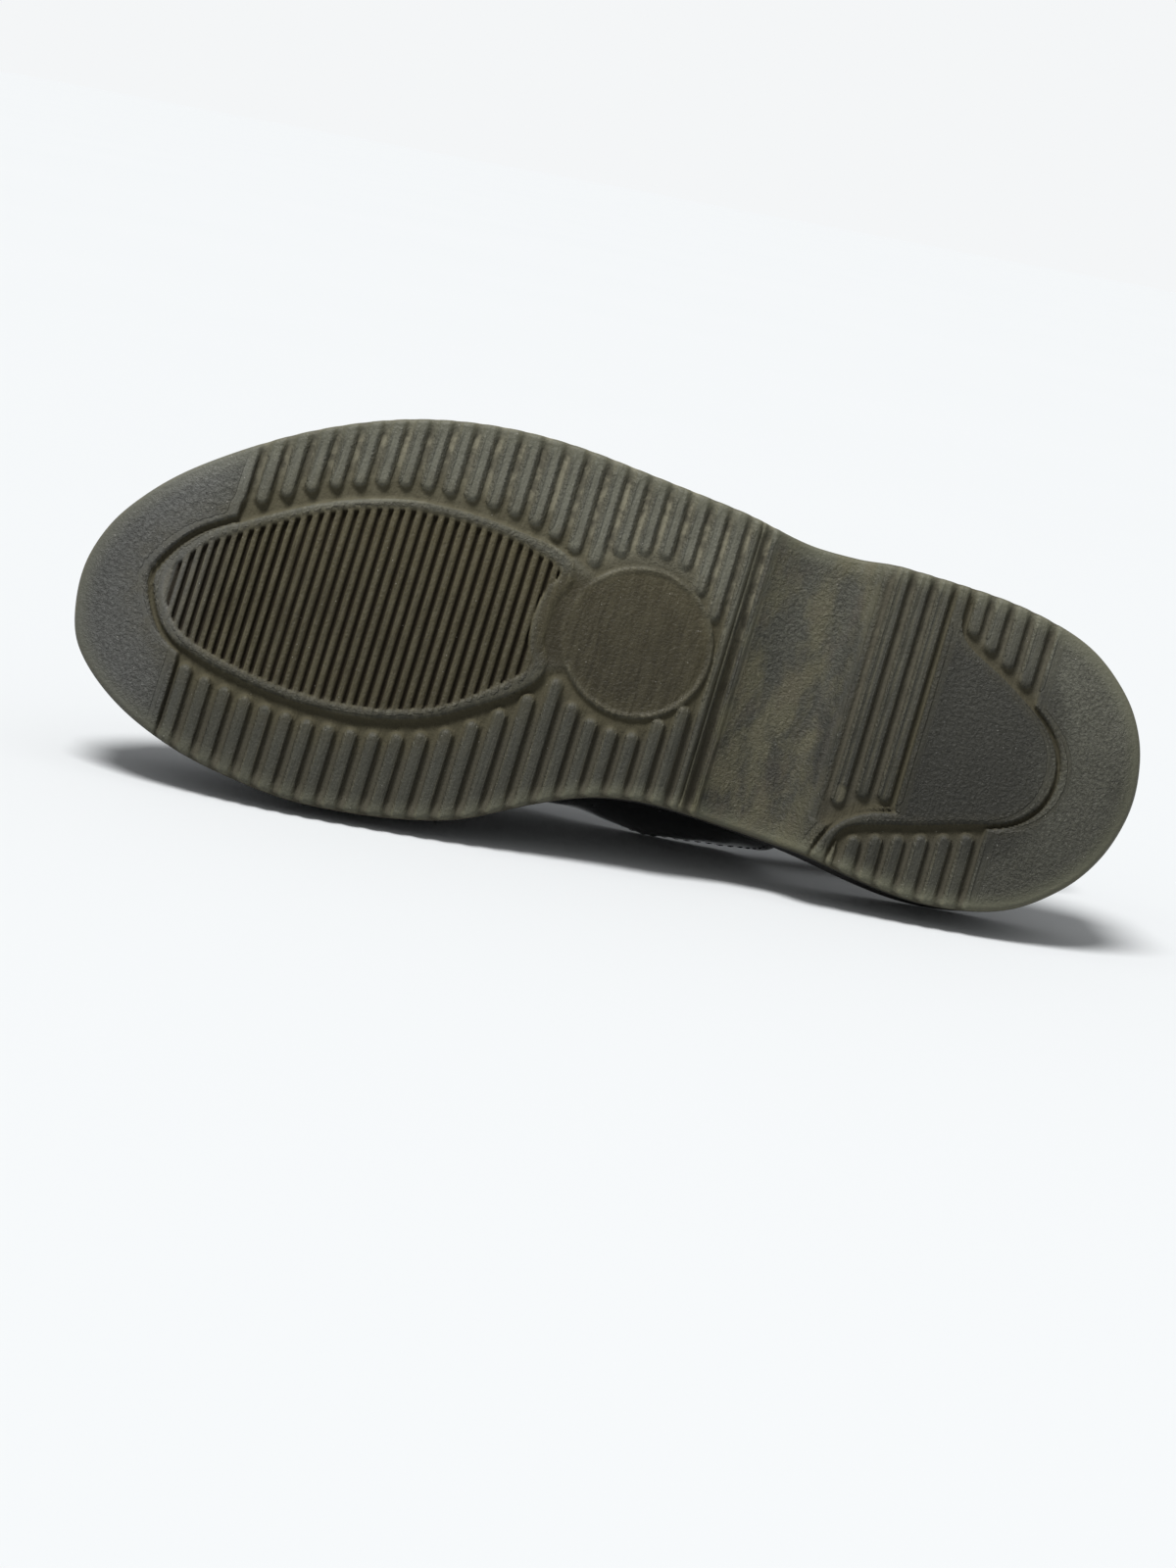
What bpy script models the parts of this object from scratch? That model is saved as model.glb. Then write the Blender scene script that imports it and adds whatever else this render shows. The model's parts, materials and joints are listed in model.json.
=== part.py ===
"""A left slingback loafer on a moulded rubber sole, lying on its inner side.

The shoe is modelled standing, in millimetres: X runs from the back of the heel to the toe,
Y from the inner side to the outer side, and Z up from the tread. The last step turns the whole
shoe onto the line where it comes to rest on its side, and scales it to metres.
"""
import math

import bmesh
import bpy
from mathutils import Matrix, Vector

# ---------------------------------------------------------------- driving dimensions (mm)
MM = 0.001
SOLE_LENGTH = 280.0
FIT_GAP = 0.3            # clearance between pieces that touch on the real shoe

CUT_PAST = 4.0           # how far cutters stand out past the tread
EDGE_PAST = 60.0         # how far straight grooves run past the sole's edges
TREAD_EDGE_ROUND = 1.6   # rounding of the tread's edge
SIDE_TAPER = 1.6         # how far the side wall leans in between tread and welt
SIDE_GROOVE = 1.4        # depth of the two grooves that run round the side wall
WELT_THICK = 3.0
WELT_REACH = 0.6         # welt edge inside the widest line of the sole
EDGE_EASE = 0.6          # small bevel on the edges of welt and insole
FEATHER_INSET = 7.4      # upper's outer face inside the widest line of the sole
WALL = 1.8               # leather and lining of the upper
INSOLE_THICK = 3.6
BASE_RISE = WELT_THICK + 0.6     # the upper's wall stands straight this far, inside the welt
INSOLE_NARROWS = (68.0, 77.0)    # the insole draws in here to pass between the quarters

HEEL_ROLL_END = 10.0
HEEL_ROLL_RISE = 2.0
ARCH_START = 77.0
ARCH_FULL = 88.0
ARCH_HOLD = 98.0
ARCH_END = 122.0
ARCH_RISE = 6.5
TOE_SPRING_START = 195.0
TOE_SPRING = 16.0

LINE_SLANT = 0.026       # all straight grooves run this much towards the toe per mm outwards
LUG_DEPTH = 2.6
LUG_GROOVE = 2.3
LUG_GROOVES_INNER = 24   # the last of them lies in front of the last lug, beside the toe plate
LUG_GROOVES_OUTER = 23
SHORTEST_LUG = 3.0
THIN_GROOVE_X = 113.9    # beside the hindmost groove, which runs right across like it
THIN_GROOVE = 0.9
THIN_DEPTH = 1.0
FINE_GROOVES = 34
FINE_GROOVE = 1.3
FINE_DEPTH = 1.5
OUTLINE_GROOVE = 1.5     # groove round the heel panel
OUTLINE_DEPTH = 1.6
LUG_END = 4.6            # the grooves between lugs end this far outside the fine ribs
DISC_X = 136.5
DISC_Y = -2.0
DISC_RADIUS = 19.5
DISC_GROOVE = 0.9
DISC_DEPTH = 0.75
DISC_TURNS = 28
DISC_RECESS = 21.3       # middle of the recess between the disc and the lugs
DISC_RECESS_WIDTH = 3.0
DISC_RECESS_TURN = (36.0, 118.0)         # from, to: degrees from the toe's direction
LUG_TO_DISC = 22.0       # the grooves between lugs end this far from the disc's middle

SEAM_RISE = 1.2
SEAM_START = 197.0       # the raised apron seam runs forward from the saddle strap
SEAM_FULL = 206.0
SEAM_ROWS = (49.2, 52.0)
SADDLE_RIBS = (168.0, 177.0, 186.0, 194.0)
SADDLE_THICK = 1.5

STEEPEST = 70.0          # the quarters are searched up to this angle
HALVINGS = 28
STRAP_WIDTH = 12.0
STRAP_THICK = 2.0
STRAP_CLEAR = 0.5        # between strap and quarter, rail and keeper
STRAP_GRIP_X = 91.0      # the strap's height is given here, on the quarters
STRAP_GRIP_Z = 52.0
STRAP_RISE = 0.22        # rise of the strap towards the heel
STRAP_LEAN = 0.12        # inward lean of the free strap's upper edge
HEEL_MIDDLE = 60.0       # the strap's faces look away from this line across the heel
STRAP_INNER_END = 113.0
STRAP_OUTER_END = 121.0
BUCKLE_WIRE = 1.1        # radius of the frame's wire
BUCKLE_HEIGHT = 17.0
BUCKLE_CORNER = 2.6      # length of each leg of a bend in the frame's wire
BAR_AT = (10.5, -1.3)    # behind the grip point, and outside the quarter's inner face
RAIL_AT = (27.5, 2.8)
PRONG_WIRE = 0.8         # radius of the prong
PRONG_HOOK = (265, 230, 195, 160, 130, 103)      # directions of the hook round the bar, degrees
PRONG_PAST_RAIL = 1.6
PRONG_OVER_RAIL = 0.2    # extra clearance where the prong lies on the rail
PRONG_ROOM = 0.4         # beside the prong, in the strap's hole and the tab's gap
STRAP_HOLE = (11.0, 19.6)        # the prong's hole, behind the grip point
STRAP_HOLE_LIFT = (-3.0, 6.0)
STRAP_BENDS_OUT = (12.0, 21.0)   # the strap climbs here from the rail onto the quarter
BUCKLE_STATIONS = (31.0, 27.5, 24.0, 20.5, 18.0, 15.5, 13.0, 10.5)
TAB_WIDTH = 9.0
TAB_LEATHER = 1.1        # thickness of the loop round the bar
TAB_FRONT = -7.0         # front end of the tab, behind the grip point
TAB_FACES = (-0.7, -2.7)         # outer and inner face, outside the quarter's inner face
TAB_GAP = (7.0, 16.0)
TAB_GAP_LIFT = (-6.0, 4.0)
ROUND_STEPS = 12
KEEPER_LENGTH = 5.0
KEEPER_AHEAD = 9.0       # its rear edge in front of the grip point
KEEPER_FOOT = 1.5        # width of the feet beside the strap
KEEPER_SHOULDER = 0.7    # thickness over the strap's edges
KEEPER_CROWN = 1.3       # thickness over the strap's middle

# Widest line of the sole: distance from the heel, reach to the inner side and to the outer side.
SOLE_PLAN = (
    # x,    inner, outer
    (0.0, 0.0, 0.0),
    (2.0, 11.5, 12.0),
    (5.0, 18.7, 18.5),
    (10.0, 26.3, 25.4),
    (20.0, 35.4, 33.4),
    (30.0, 40.0, 37.3),
    (45.0, 42.7, 39.7),
    (60.0, 42.4, 39.9),
    (80.0, 40.2, 39.2),
    (100.0, 39.6, 37.8),
    (120.0, 40.4, 39.5),
    (135.0, 43.6, 40.4),
    (150.0, 50.8, 41.2),
    (165.0, 59.8, 41.9),
    (180.0, 64.8, 41.3),
    (195.0, 67.8, 39.0),
    (210.0, 69.4, 34.9),
    (225.0, 68.6, 28.6),
    (240.0, 66.4, 20.3),
    (255.0, 61.6, 9.8),
    (265.0, 56.2, 1.3),
    (272.0, 50.6, -7.0),
    (277.0, 43.8, -15.2),
    (280.0, 28.3, -28.3),
)
# Height of the top of the outsole.
SOLE_TOP = (
    # x,   z
    (0.0, 27.5),
    (55.0, 27.0),
    (85.0, 24.6),
    (115.0, 19.6),
    (145.0, 16.6),
    (180.0, 15.8),
    (210.0, 16.8),
    (240.0, 20.6),
    (262.0, 25.6),
    (280.0, 30.6),
)
# Oval of fine ribs under the ball.
OVAL = (
    # x,    inner, outer
    (161.0, 17.0, 9.5),
    (170.0, 26.2, 12.3),
    (180.0, 34.0, 13.5),
    (192.0, 38.9, 13.3),
    (205.0, 41.5, 11.6),
    (220.0, 42.1, 6.4),
    (232.0, 41.0, 0.0),
    (243.0, 39.0, -7.0),
    (252.0, 35.2, -13.6),
    (257.6, 27.0, -22.5),
)
# Recess round the rim of the oval.
OVAL_RECESS = (
    # x,    offset of its middle, width
    (160.0, 4.2, 3.0),
    (240.0, 4.2, 3.0),
    (250.0, 3.5, 1.7),
    (262.0, 3.5, 1.7),
)
# Where the grooves lie on the middle line: between the lugs, and across the oval.
LUG_ROW = (
    # groove, x
    (0.0, 111.7),
    (4.0, 133.5),
    (10.0, 168.2),
    (15.0, 197.7),
    (20.0, 226.4),
    (24.0, 249.4),
)
FINE_ROW = (
    # groove, x
    (0.0, 164.0),
    (8.0, 187.4),
    (16.0, 210.5),
    (24.0, 232.8),
    (33.0, 256.4),
)
# Groove over the tongue that runs from the heel panel to the inner edge.
HEEL_SWEEP = (
    # x,   y
    (77.8, -44.0),
    (76.6, -38.0),
    (74.6, -32.4),
    (71.0, -27.8),
    (65.5, -24.2),
    (59.5, -22.2),
)
# Groove round the bare heel panel and its tongue.
HEEL_PANEL = (
    # x,   y
    (72.6, -44.0),
    (72.2, -36.0),
    (69.5, -30.5),
    (62.0, -27.3),
    (53.3, -24.6),
    (41.7, -20.4),
    (30.0, -16.3),
    (23.5, -10.0),
    (21.4, -2.0),
    (23.4, 6.2),
    (29.6, 12.9),
    (41.7, 20.0),
    (52.5, 25.0),
    (56.6, 29.0),
    (57.6, 36.0),
    (57.6, 44.0),
)
# Straight grooves of the heel: four long ones, then those between the short lugs.
HEEL_RIBS = (
    # x,   from,  to
    (77.9, -26.0, 60.0),
    (72.1, -24.6, 60.0),
    (66.4, -23.2, 60.0),
    (60.5, -21.4, 60.0),
    (64.9, -60.0, -28.8),
    (59.4, -60.0, -27.0),
    (53.9, -60.0, -25.3),
    (47.9, -60.0, -23.2),
    (42.3, -60.0, -21.0),
    (36.5, -60.0, -19.2),
    (50.7, 24.6, 60.0),
    (45.0, 22.0, 60.0),
    (39.5, 19.2, 60.0),
    (33.4, 15.6, 60.0),
)
HEEL_RIB_GROOVE = 2.1
HEEL_DEPTH = 1.8
# Ridge of the vamp and, behind the throat, of the foot space that the quarters stand round.
RIDGE = (
    # x,    z,     reach to the inner side
    (60.0, 112.0, 1.0),
    (90.0, 110.0, 1.0),
    (115.0, 104.0, 2.0),
    (140.0, 94.0, 6.0),
    (160.0, 82.0, 10.0),
    (180.0, 70.5, 13.0),
    (196.0, 63.0, 16.0),
    (211.0, 58.0, 18.5),
    (225.0, 56.4, 20.0),
)
RIDGE_FRONT = 224.0      # the ribs of the toe box fan out from here
RIB_FAN_START = 178.0
# How far each side wall swells out over the featherline.
SWELL = (
    # x,   inner, outer
    (60.0, 6.0, 4.0),
    (90.0, 9.5, 5.0),
    (118.0, 14.5, 6.5),
    (142.0, 8.5, 7.0),
    (158.0, 3.5, 6.8),
    (172.0, 1.2, 6.0),
    (190.0, 0.8, 5.0),
    (220.0, 1.5, 3.5),
    (255.0, 2.6, 3.0),
    (275.0, 3.0, 3.0),
)
SECTION_POWER = 0.80     # below 1 makes the cross-sections squarer than an ellipse
OPENING_HEIGHTS = (180.0, -20.0)         # top and bottom of the space cut away over the topline
OPENING_REACH = 120.0                    # and its reach to each side
# Stations round the heel, stations of the ribs along the featherline, and angles of the rows up
# each rib.
HEEL_X = (1.0, 3.5, 7.5, 13.0, 20.0, 29.0, 39.0, 49.0, 59.0)
RIB_X = (70.0, 80.0, 90.0, 101.0, 112.0, 124.0, 136.0, 148.0, 158.0, 168.0, 177.0, 186.0, 194.0,
         203.0, 213.0, 223.0, 233.0, 242.0, 250.0, 257.0, 263.0, 268.0, 272.0, 275.5, 278.2)
ROW_ANGLE = (0.0, 5.0, 11.0, 18.0, 26.0, 34.0, 42.0, 48.0, 49.2, 52.0, 53.2, 61.0, 70.0, 80.0, 90.0)
# Edge of the opening, from the back of the quarters up to the throat.
TOPLINE = (
    # x,    z
    (80.0, 20.0),
    (81.5, 36.0),
    (84.5, 50.0),
    (92.0, 58.5),
    (104.0, 60.0),
    (122.0, 62.0),
    (140.0, 67.0),
    (154.0, 74.5),
    (164.0, 86.0),
)
# Free run of the sling strap round the heel: half width of its middle, and height.
STRAP_RUN = (
    # x,   half width, z
    (58.0, 31.0, 60.5),
    (42.0, 28.6, 66.5),
    (27.0, 24.8, 72.5),
    (15.5, 18.4, 77.0),
    (9.0, 10.2, 80.0),
    (7.0, 0.0, 81.0),
)


# ---------------------------------------------------------------- curves from the tables
def smooth(value, start, end):
    """Blend from 0 at start to 1 at end."""
    share = min(1.0, max(0.0, (value - start) / (end - start)))
    return share * share * (3.0 - 2.0 * share)


def read_table(table, x, column):
    """Smooth reading of one column, held level beyond the ends."""
    last = len(table) - 1
    x = min(max(x, table[0][0]), table[last][0])
    index = max(i for i in range(last) if table[i][0] <= x)

    def slope(i):
        low, high = table[max(0, i - 1)], table[min(last, i + 1)]
        return (high[column] - low[column]) / (high[0] - low[0])

    span = table[index + 1][0] - table[index][0]
    u = (x - table[index][0]) / span
    rise = u * u * (3.0 - 2.0 * u)
    return (table[index][column] * (1.0 - rise) + table[index + 1][column] * rise
            + (u ** 3 - 2.0 * u ** 2 + u) * span * slope(index)
            + (u ** 3 - u ** 2) * span * slope(index + 1))


def smooth_run(points, steps, closed=False):
    """Catmull-Rom run through the given points."""
    count = len(points)
    run = []
    for i in range(count if closed else count - 1):
        if closed:
            picks = [points[k % count] for k in (i - 1, i, i + 1, i + 2)]
        else:
            picks = [points[min(max(k, 0), count - 1)] for k in (i - 1, i, i + 1, i + 2)]
        a, b, c, d = (Vector(pick) for pick in picks)
        for step in range(steps):
            u = step / steps
            run.append(0.5 * (2.0 * b + (c - a) * u + (2.0 * a - 5.0 * b + 4.0 * c - d) * u ** 2
                              + (3.0 * b - a - 3.0 * c + d) * u ** 3))
    if not closed:
        run.append(Vector(points[-1]))
    return run


def plan_sides():
    """The widest line as two runs from heel to toe: inner side, outer side."""
    inner = [(x, -reach) for x, reach, other in SOLE_PLAN]
    outer = [(x, reach) for x, other, reach in SOLE_PLAN[1:-1]]
    steps = 12
    loop = smooth_run(inner + outer[::-1], steps, closed=True)
    toe = steps * (len(inner) - 1)
    return loop[:toe + 1], [loop[0]] + loop[:toe - 1:-1]


PLAN_INNER, PLAN_OUTER = plan_sides()


def plan_point(x, outer, inset=0.0):
    """Point of the widest line at x, moved inwards by inset along the line's own normal."""
    side = PLAN_OUTER if outer else PLAN_INNER
    x = min(max(x, side[0].x), side[-1].x)
    index = 0
    while index < len(side) - 2 and side[index + 1].x < x:
        index += 1
    a, b = side[index], side[index + 1]
    before = side[max(index - 1, 0)]
    after = side[min(index + 2, len(side) - 1)]
    along = ((b - a).normalized() + (after - before).normalized()).normalized()
    inward = Vector((along.y, -along.x)) if outer else Vector((-along.y, along.x))
    return a.lerp(b, (x - a.x) / (b.x - a.x)) + inward * inset


def ground(x):
    """Height of the tread: flat under heel and ball, raised at the arch and the toe."""
    roll = HEEL_ROLL_RISE * (max(0.0, HEEL_ROLL_END - x) / HEEL_ROLL_END) ** 2
    arch = ARCH_RISE * smooth(x, ARCH_START, ARCH_FULL) * (1.0 - smooth(x, ARCH_HOLD, ARCH_END))
    spring = max(0.0, x - TOE_SPRING_START) / (SOLE_LENGTH - TOE_SPRING_START)
    return roll + arch + TOE_SPRING * spring ** 2


def sole_top(x):
    return read_table(SOLE_TOP, x, 1)


def plan_ring(inset, height):
    """Closed ring at one inset, or an inset read from x, with its heights read from x."""
    read_inset = inset if callable(inset) else (lambda x: inset)
    inner = [plan_point(x, False, read_inset(x)) for x in HEEL_X + RIB_X]
    outer = [plan_point(x, True, read_inset(x)) for x in HEEL_X + RIB_X]
    heel, toe = PLAN_INNER[0], PLAN_INNER[-1]
    ring = [heel + Vector((read_inset(0.0), 0.0))] + inner
    ring += [toe - Vector((read_inset(SOLE_LENGTH), 0.0))] + outer[::-1]
    return [Vector((p.x, p.y, height(p.x))) for p in ring]


# ---------------------------------------------------------------- mesh helpers
def finish_mesh(bm, name):
    """Mesh with its faces turned outwards, from a closed bmesh."""
    bmesh.ops.recalc_face_normals(bm, faces=bm.faces)
    bmesh.ops.scale(bm, vec=(MM, MM, MM), verts=bm.verts)
    mesh = bpy.data.meshes.new(name)
    bm.to_mesh(mesh)
    bm.free()
    return mesh


def add_part(name, mesh, parts, colour, roughness, metallic=0.0):
    """One piece of the shoe with its own plain material."""
    part = bpy.data.objects.new(name, mesh)
    parts.objects.link(part)
    material = bpy.data.materials.new(name + "_finish")
    material.use_nodes = True
    surface = material.node_tree.nodes["Principled BSDF"]
    surface.inputs["Base Color"].default_value = (*colour, 1.0)
    surface.inputs["Roughness"].default_value = roughness
    surface.inputs["Metallic"].default_value = metallic
    mesh.materials.append(material)
    return part


def cut(part, bm, name, cutters):
    """Take a closed bmesh out of a part."""
    bmesh.ops.triangulate(bm, faces=bm.faces)
    cutter = bpy.data.objects.new(name, finish_mesh(bm, name))
    cutter.hide_render = True
    cutter.display_type = "WIRE"
    cutters.objects.link(cutter)
    modifier = part.modifiers.new(name, "BOOLEAN")
    modifier.operation = "DIFFERENCE"
    modifier.solver = "EXACT"
    modifier.object = cutter


def skin(bm, rings, closed=False):
    """Skin a row of rings; its ends are capped unless the row itself closes."""
    rows = [[bm.verts.new(point) for point in ring] for ring in rings]
    count = len(rows[0])
    for i in range(len(rows) if closed else len(rows) - 1):
        here, there = rows[i], rows[(i + 1) % len(rows)]
        for k in range(count):
            m = (k + 1) % count
            bm.faces.new((here[k], here[m], there[m], there[k]))
    if not closed:
        bm.faces.new(rows[0])
        bm.faces.new(rows[-1])


def close_ring(bm, row):
    """Close a ring round the sole with strips that run straight across."""
    half = len(row) // 2
    bm.faces.new((row[0], row[1], row[-1]))
    for i in range(1, half - 1):
        bm.faces.new((row[i], row[i + 1], row[-(i + 1)], row[-i]))
    bm.faces.new((row[half - 1], row[half], row[half + 1]))


def stack(rings):
    """Solid between its first and its last ring."""
    bm = bmesh.new()
    rows = [[bm.verts.new(point) for point in ring] for ring in rings]
    count = len(rows[0])
    for lower, upper in zip(rows, rows[1:]):
        for k in range(count):
            m = (k + 1) % count
            bm.faces.new((lower[k], lower[m], upper[m], upper[k]))
    close_ring(bm, rows[0])
    close_ring(bm, rows[-1])
    bmesh.ops.triangulate(bm, faces=bm.faces)
    return bm


# ---------------------------------------------------------------- outsole
def make_outsole(parts, cutters):
    def height(share, lift):
        return lambda x: ground(x) + lift + share * (sole_top(x) - ground(x))

    # Side wall from the tread to the welt.
    wall = (
        # share of height, lift, inset
        (0.0, 0.0, TREAD_EDGE_ROUND),
        (0.0, TREAD_EDGE_ROUND, 0.0),
        (0.48, 0.0, 0.3 * SIDE_TAPER),
        (0.52, 0.0, 0.3 * SIDE_TAPER + SIDE_GROOVE),
        (0.58, 0.0, 0.3 * SIDE_TAPER + SIDE_GROOVE),
        (0.62, 0.0, 0.5 * SIDE_TAPER),
        (0.74, 0.0, 0.7 * SIDE_TAPER),
        (0.78, 0.0, 0.7 * SIDE_TAPER + SIDE_GROOVE),
        (0.84, 0.0, 0.7 * SIDE_TAPER + SIDE_GROOVE),
        (0.88, 0.0, 0.9 * SIDE_TAPER),
        (1.0, 0.0, SIDE_TAPER),
    )
    bm = stack([plan_ring(inset, height(share, lift)) for share, lift, inset in wall])
    sole = add_part("outsole", finish_mesh(bm, "outsole"), parts, (0.045, 0.045, 0.038), 0.55)
    cut(sole, lug_grooves(), "lug_grooves", cutters)
    cut(sole, fine_grooves(), "fine_grooves", cutters)
    cut(sole, outline_grooves(), "outline_grooves", cutters)
    cut(sole, disc_recess(), "disc_recess", cutters)
    cut(sole, heel_grooves(), "heel_grooves", cutters)
    cut(sole, heel_ribs(), "heel_ribs", cutters)


def pocket(bm, outline, depth):
    """Prism that cuts a plan outline, slanted as the grooves are, into the tread."""
    slanted = [(x + LINE_SLANT * y, y) for x, y in outline]
    below = [bm.verts.new((x, y, ground(x) - CUT_PAST)) for x, y in slanted]
    above = [bm.verts.new((x, y, ground(x) + depth)) for x, y in slanted]
    for k in range(len(outline)):
        m = (k + 1) % len(outline)
        bm.faces.new((below[k], below[m], above[m], above[k]))
    bm.faces.new(below)
    bm.faces.new(above)


def channel(bm, path, depth, closed=False):
    """Prism that cuts a groove into the tread along points given with the groove's width there."""
    count = len(path)
    rings = []
    for i, (point, width) in enumerate(path):
        before = path[(i - 1) % count] if closed else path[max(i - 1, 0)]
        after = path[(i + 1) % count] if closed else path[min(i + 1, count - 1)]
        along = (after[0] - before[0]).normalized()
        aside = Vector((-along.y, along.x)) * (0.5 * width)
        left, right = point + aside, point - aside
        ring = [(spot.x, spot.y, ground(spot.x) - CUT_PAST) for spot in (left, right)]
        ring += [(spot.x, spot.y, ground(spot.x) + depth) for spot in (right, left)]
        rings.append(ring)
    skin(bm, rings, closed)


def lug_end(x, outer):
    """Reach at which a groove that comes in from one edge ends, short of the oval and the disc."""
    column = 2 if outer else 1
    marks = [(DISC_X, DISC_Y if outer else -DISC_Y, LUG_TO_DISC)]
    spot = OVAL[0][0]
    while spot <= OVAL[-1][0]:
        marks.append((spot, read_table(OVAL, spot, column), LUG_END))
        spot += 1.0
    reach = 0.0
    for mark_x, mark_reach, clear in marks:
        if abs(x - mark_x) < clear:
            reach = max(reach, mark_reach + math.sqrt(clear ** 2 - (x - mark_x) ** 2))
    return reach


def groove_across(bm, x, start, end, width, depth):
    """Straight groove round x on the middle line, between two reaches."""
    half = 0.5 * width
    pocket(bm, [(x - half, start), (x + half, start), (x + half, end), (x - half, end)], depth)


def lug_grooves():
    """Grooves between the finger lugs, in from both edges, and the two behind them."""
    bm = bmesh.new()
    groove_across(bm, LUG_ROW[0][1], -EDGE_PAST, EDGE_PAST, LUG_GROOVE, LUG_DEPTH)
    groove_across(bm, THIN_GROOVE_X, -EDGE_PAST, EDGE_PAST, THIN_GROOVE, THIN_DEPTH)
    for outer, count in ((False, LUG_GROOVES_INNER), (True, LUG_GROOVES_OUTER)):
        side = 1.0 if outer else -1.0
        for i in range(1, count + 1):
            x = read_table(LUG_ROW, float(i), 1)
            edge = side * plan_point(x, outer).y
            end = lug_end(x, outer)
            if edge - end > SHORTEST_LUG:
                groove_across(bm, x, side * end, side * (edge + CUT_PAST), LUG_GROOVE, LUG_DEPTH)
    return bm


def fine_grooves():
    """Fine grooves across the oval."""
    bm = bmesh.new()
    half = 0.5 * FINE_GROOVE
    for i in range(FINE_GROOVES):
        middle = read_table(FINE_ROW, float(i), 1)
        corners = [(x, -read_table(OVAL, x, 1)) for x in (middle - half, middle + half)]
        corners += [(x, read_table(OVAL, x, 2)) for x in (middle + half, middle - half)]
        pocket(bm, corners, FINE_DEPTH)
    return bm


def disc_arc(radius, start, end, count):
    """Points round the middle of the disc, between two angles in degrees."""
    arc = []
    for i in range(count):
        angle = math.radians(start + (end - start) * i / (count - 1))
        arc.append(Vector((DISC_X + radius * math.cos(angle), DISC_Y + radius * math.sin(angle))))
    return arc


def outline_grooves():
    """Recess round the rim of the oval, ring round the bare disc and recess between it and the lugs."""
    bm = bmesh.new()
    inner = [(x, -reach) for x, reach, other in OVAL]
    outer = [(x, reach) for x, other, reach in OVAL[:-1]]
    run = smooth_run(inner + outer[::-1], 2)
    recess = []
    for i, point in enumerate(run):
        along = (run[min(i + 1, len(run) - 1)] - run[max(i - 1, 0)]).normalized()
        aside = Vector((along.y, -along.x)) * read_table(OVAL_RECESS, point.x, 1)
        recess.append((point + aside, read_table(OVAL_RECESS, point.x, 2)))
    channel(bm, recess, LUG_DEPTH - 0.5 * FIT_GAP)
    ring = disc_arc(DISC_RADIUS, 0.0, 360.0, DISC_TURNS + 1)[:-1]
    channel(bm, [(point, DISC_GROOVE) for point in ring], DISC_DEPTH, closed=True)
    return bm


def disc_recess():
    bm = bmesh.new()
    for side in (-1.0, 1.0):
        arc = disc_arc(DISC_RECESS, *(side * turn for turn in DISC_RECESS_TURN), DISC_TURNS // 3)
        channel(bm, [(point, DISC_RECESS_WIDTH) for point in arc], LUG_DEPTH - FIT_GAP)
    return bm


def heel_grooves():
    """Outline of the heel panel and of its tongue."""
    bm = bmesh.new()
    for line in (HEEL_SWEEP, HEEL_PANEL):
        channel(bm, [(point, OUTLINE_GROOVE) for point in smooth_run(line, 2)], OUTLINE_DEPTH)
    return bm


def heel_ribs():
    bm = bmesh.new()
    for x, start, end in HEEL_RIBS:
        groove_across(bm, x, start, end, HEEL_RIB_GROOVE, HEEL_DEPTH)
    return bm


# ---------------------------------------------------------------- welt and insole
def over_sole(lift):
    """Height over the top of the outsole, clear of it by the fitting gap."""
    return lambda x: sole_top(x) + FIT_GAP + lift


def make_welt(parts):
    inner = FEATHER_INSET - FIT_GAP
    section = (
        # inset, lift
        (WELT_REACH + 0.5 * EDGE_EASE, 0.0),
        (WELT_REACH, WELT_THICK - EDGE_EASE),
        (WELT_REACH + EDGE_EASE, WELT_THICK),
        (inner, WELT_THICK),
        (inner, 0.0),
    )
    rings = [plan_ring(inset, over_sole(lift)) for inset, lift in section]
    bm = bmesh.new()
    skin(bm, rings, closed=True)
    bmesh.ops.triangulate(bm, faces=bm.faces)
    add_part("welt", finish_mesh(bm, "welt"), parts, (0.02, 0.02, 0.02), 0.5)


def make_insole(parts):
    def inset(x):
        return FEATHER_INSET + (WALL + FIT_GAP) * smooth(x, *INSOLE_NARROWS)

    def eased_inset(x):
        return inset(x) + EDGE_EASE

    rings = [plan_ring(inset, over_sole(0.0)),
             plan_ring(inset, over_sole(INSOLE_THICK - EDGE_EASE)),
             plan_ring(eased_inset, over_sole(INSOLE_THICK))]
    add_part("insole", finish_mesh(stack(rings), "insole"), parts, (0.03, 0.028, 0.026), 0.6)


# ---------------------------------------------------------------- upper
def rib_axis(x):
    """Where along the ridge a rib ends that leaves the featherline at x."""
    if x <= RIB_FAN_START:
        return x
    span = SOLE_LENGTH - RIB_FAN_START
    end = (RIDGE_FRONT - RIB_FAN_START) / span
    u = min(1.0, (x - RIB_FAN_START) / span)
    return RIB_FAN_START + span * (u + (3.0 * end - 2.0) * u ** 2 + (1.0 - 2.0 * end) * u ** 3)


def rib_point(x, outer, angle):
    """Point of the upper's outer face, angle degrees up the rib that leaves the featherline at x."""
    foot = plan_point(x, outer, FEATHER_INSET)
    away = (plan_point(x, outer) - foot).normalized()
    if x >= SOLE_LENGTH:
        away = Vector((1.0, 0.0))
        foot = PLAN_INNER[-1] - away * FEATHER_INSET
    axis_x = rib_axis(x)
    axis = Vector((axis_x, -read_table(RIDGE, axis_x, 2)))
    base = sole_top(foot.x) + FIT_GAP + BASE_RISE
    turn = math.radians(angle)
    along = max(0.0, math.cos(turn)) ** SECTION_POWER
    up = max(0.0, math.sin(turn)) ** SECTION_POWER
    swell = read_table(SWELL, x, 2 if outer else 1) * math.sin(math.pi * math.sqrt(angle / 90.0))
    plan = axis.lerp(foot, along) + away * swell
    return Vector((plan.x, plan.y, base + (read_table(RIDGE, axis_x, 1) - base) * up))


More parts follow.
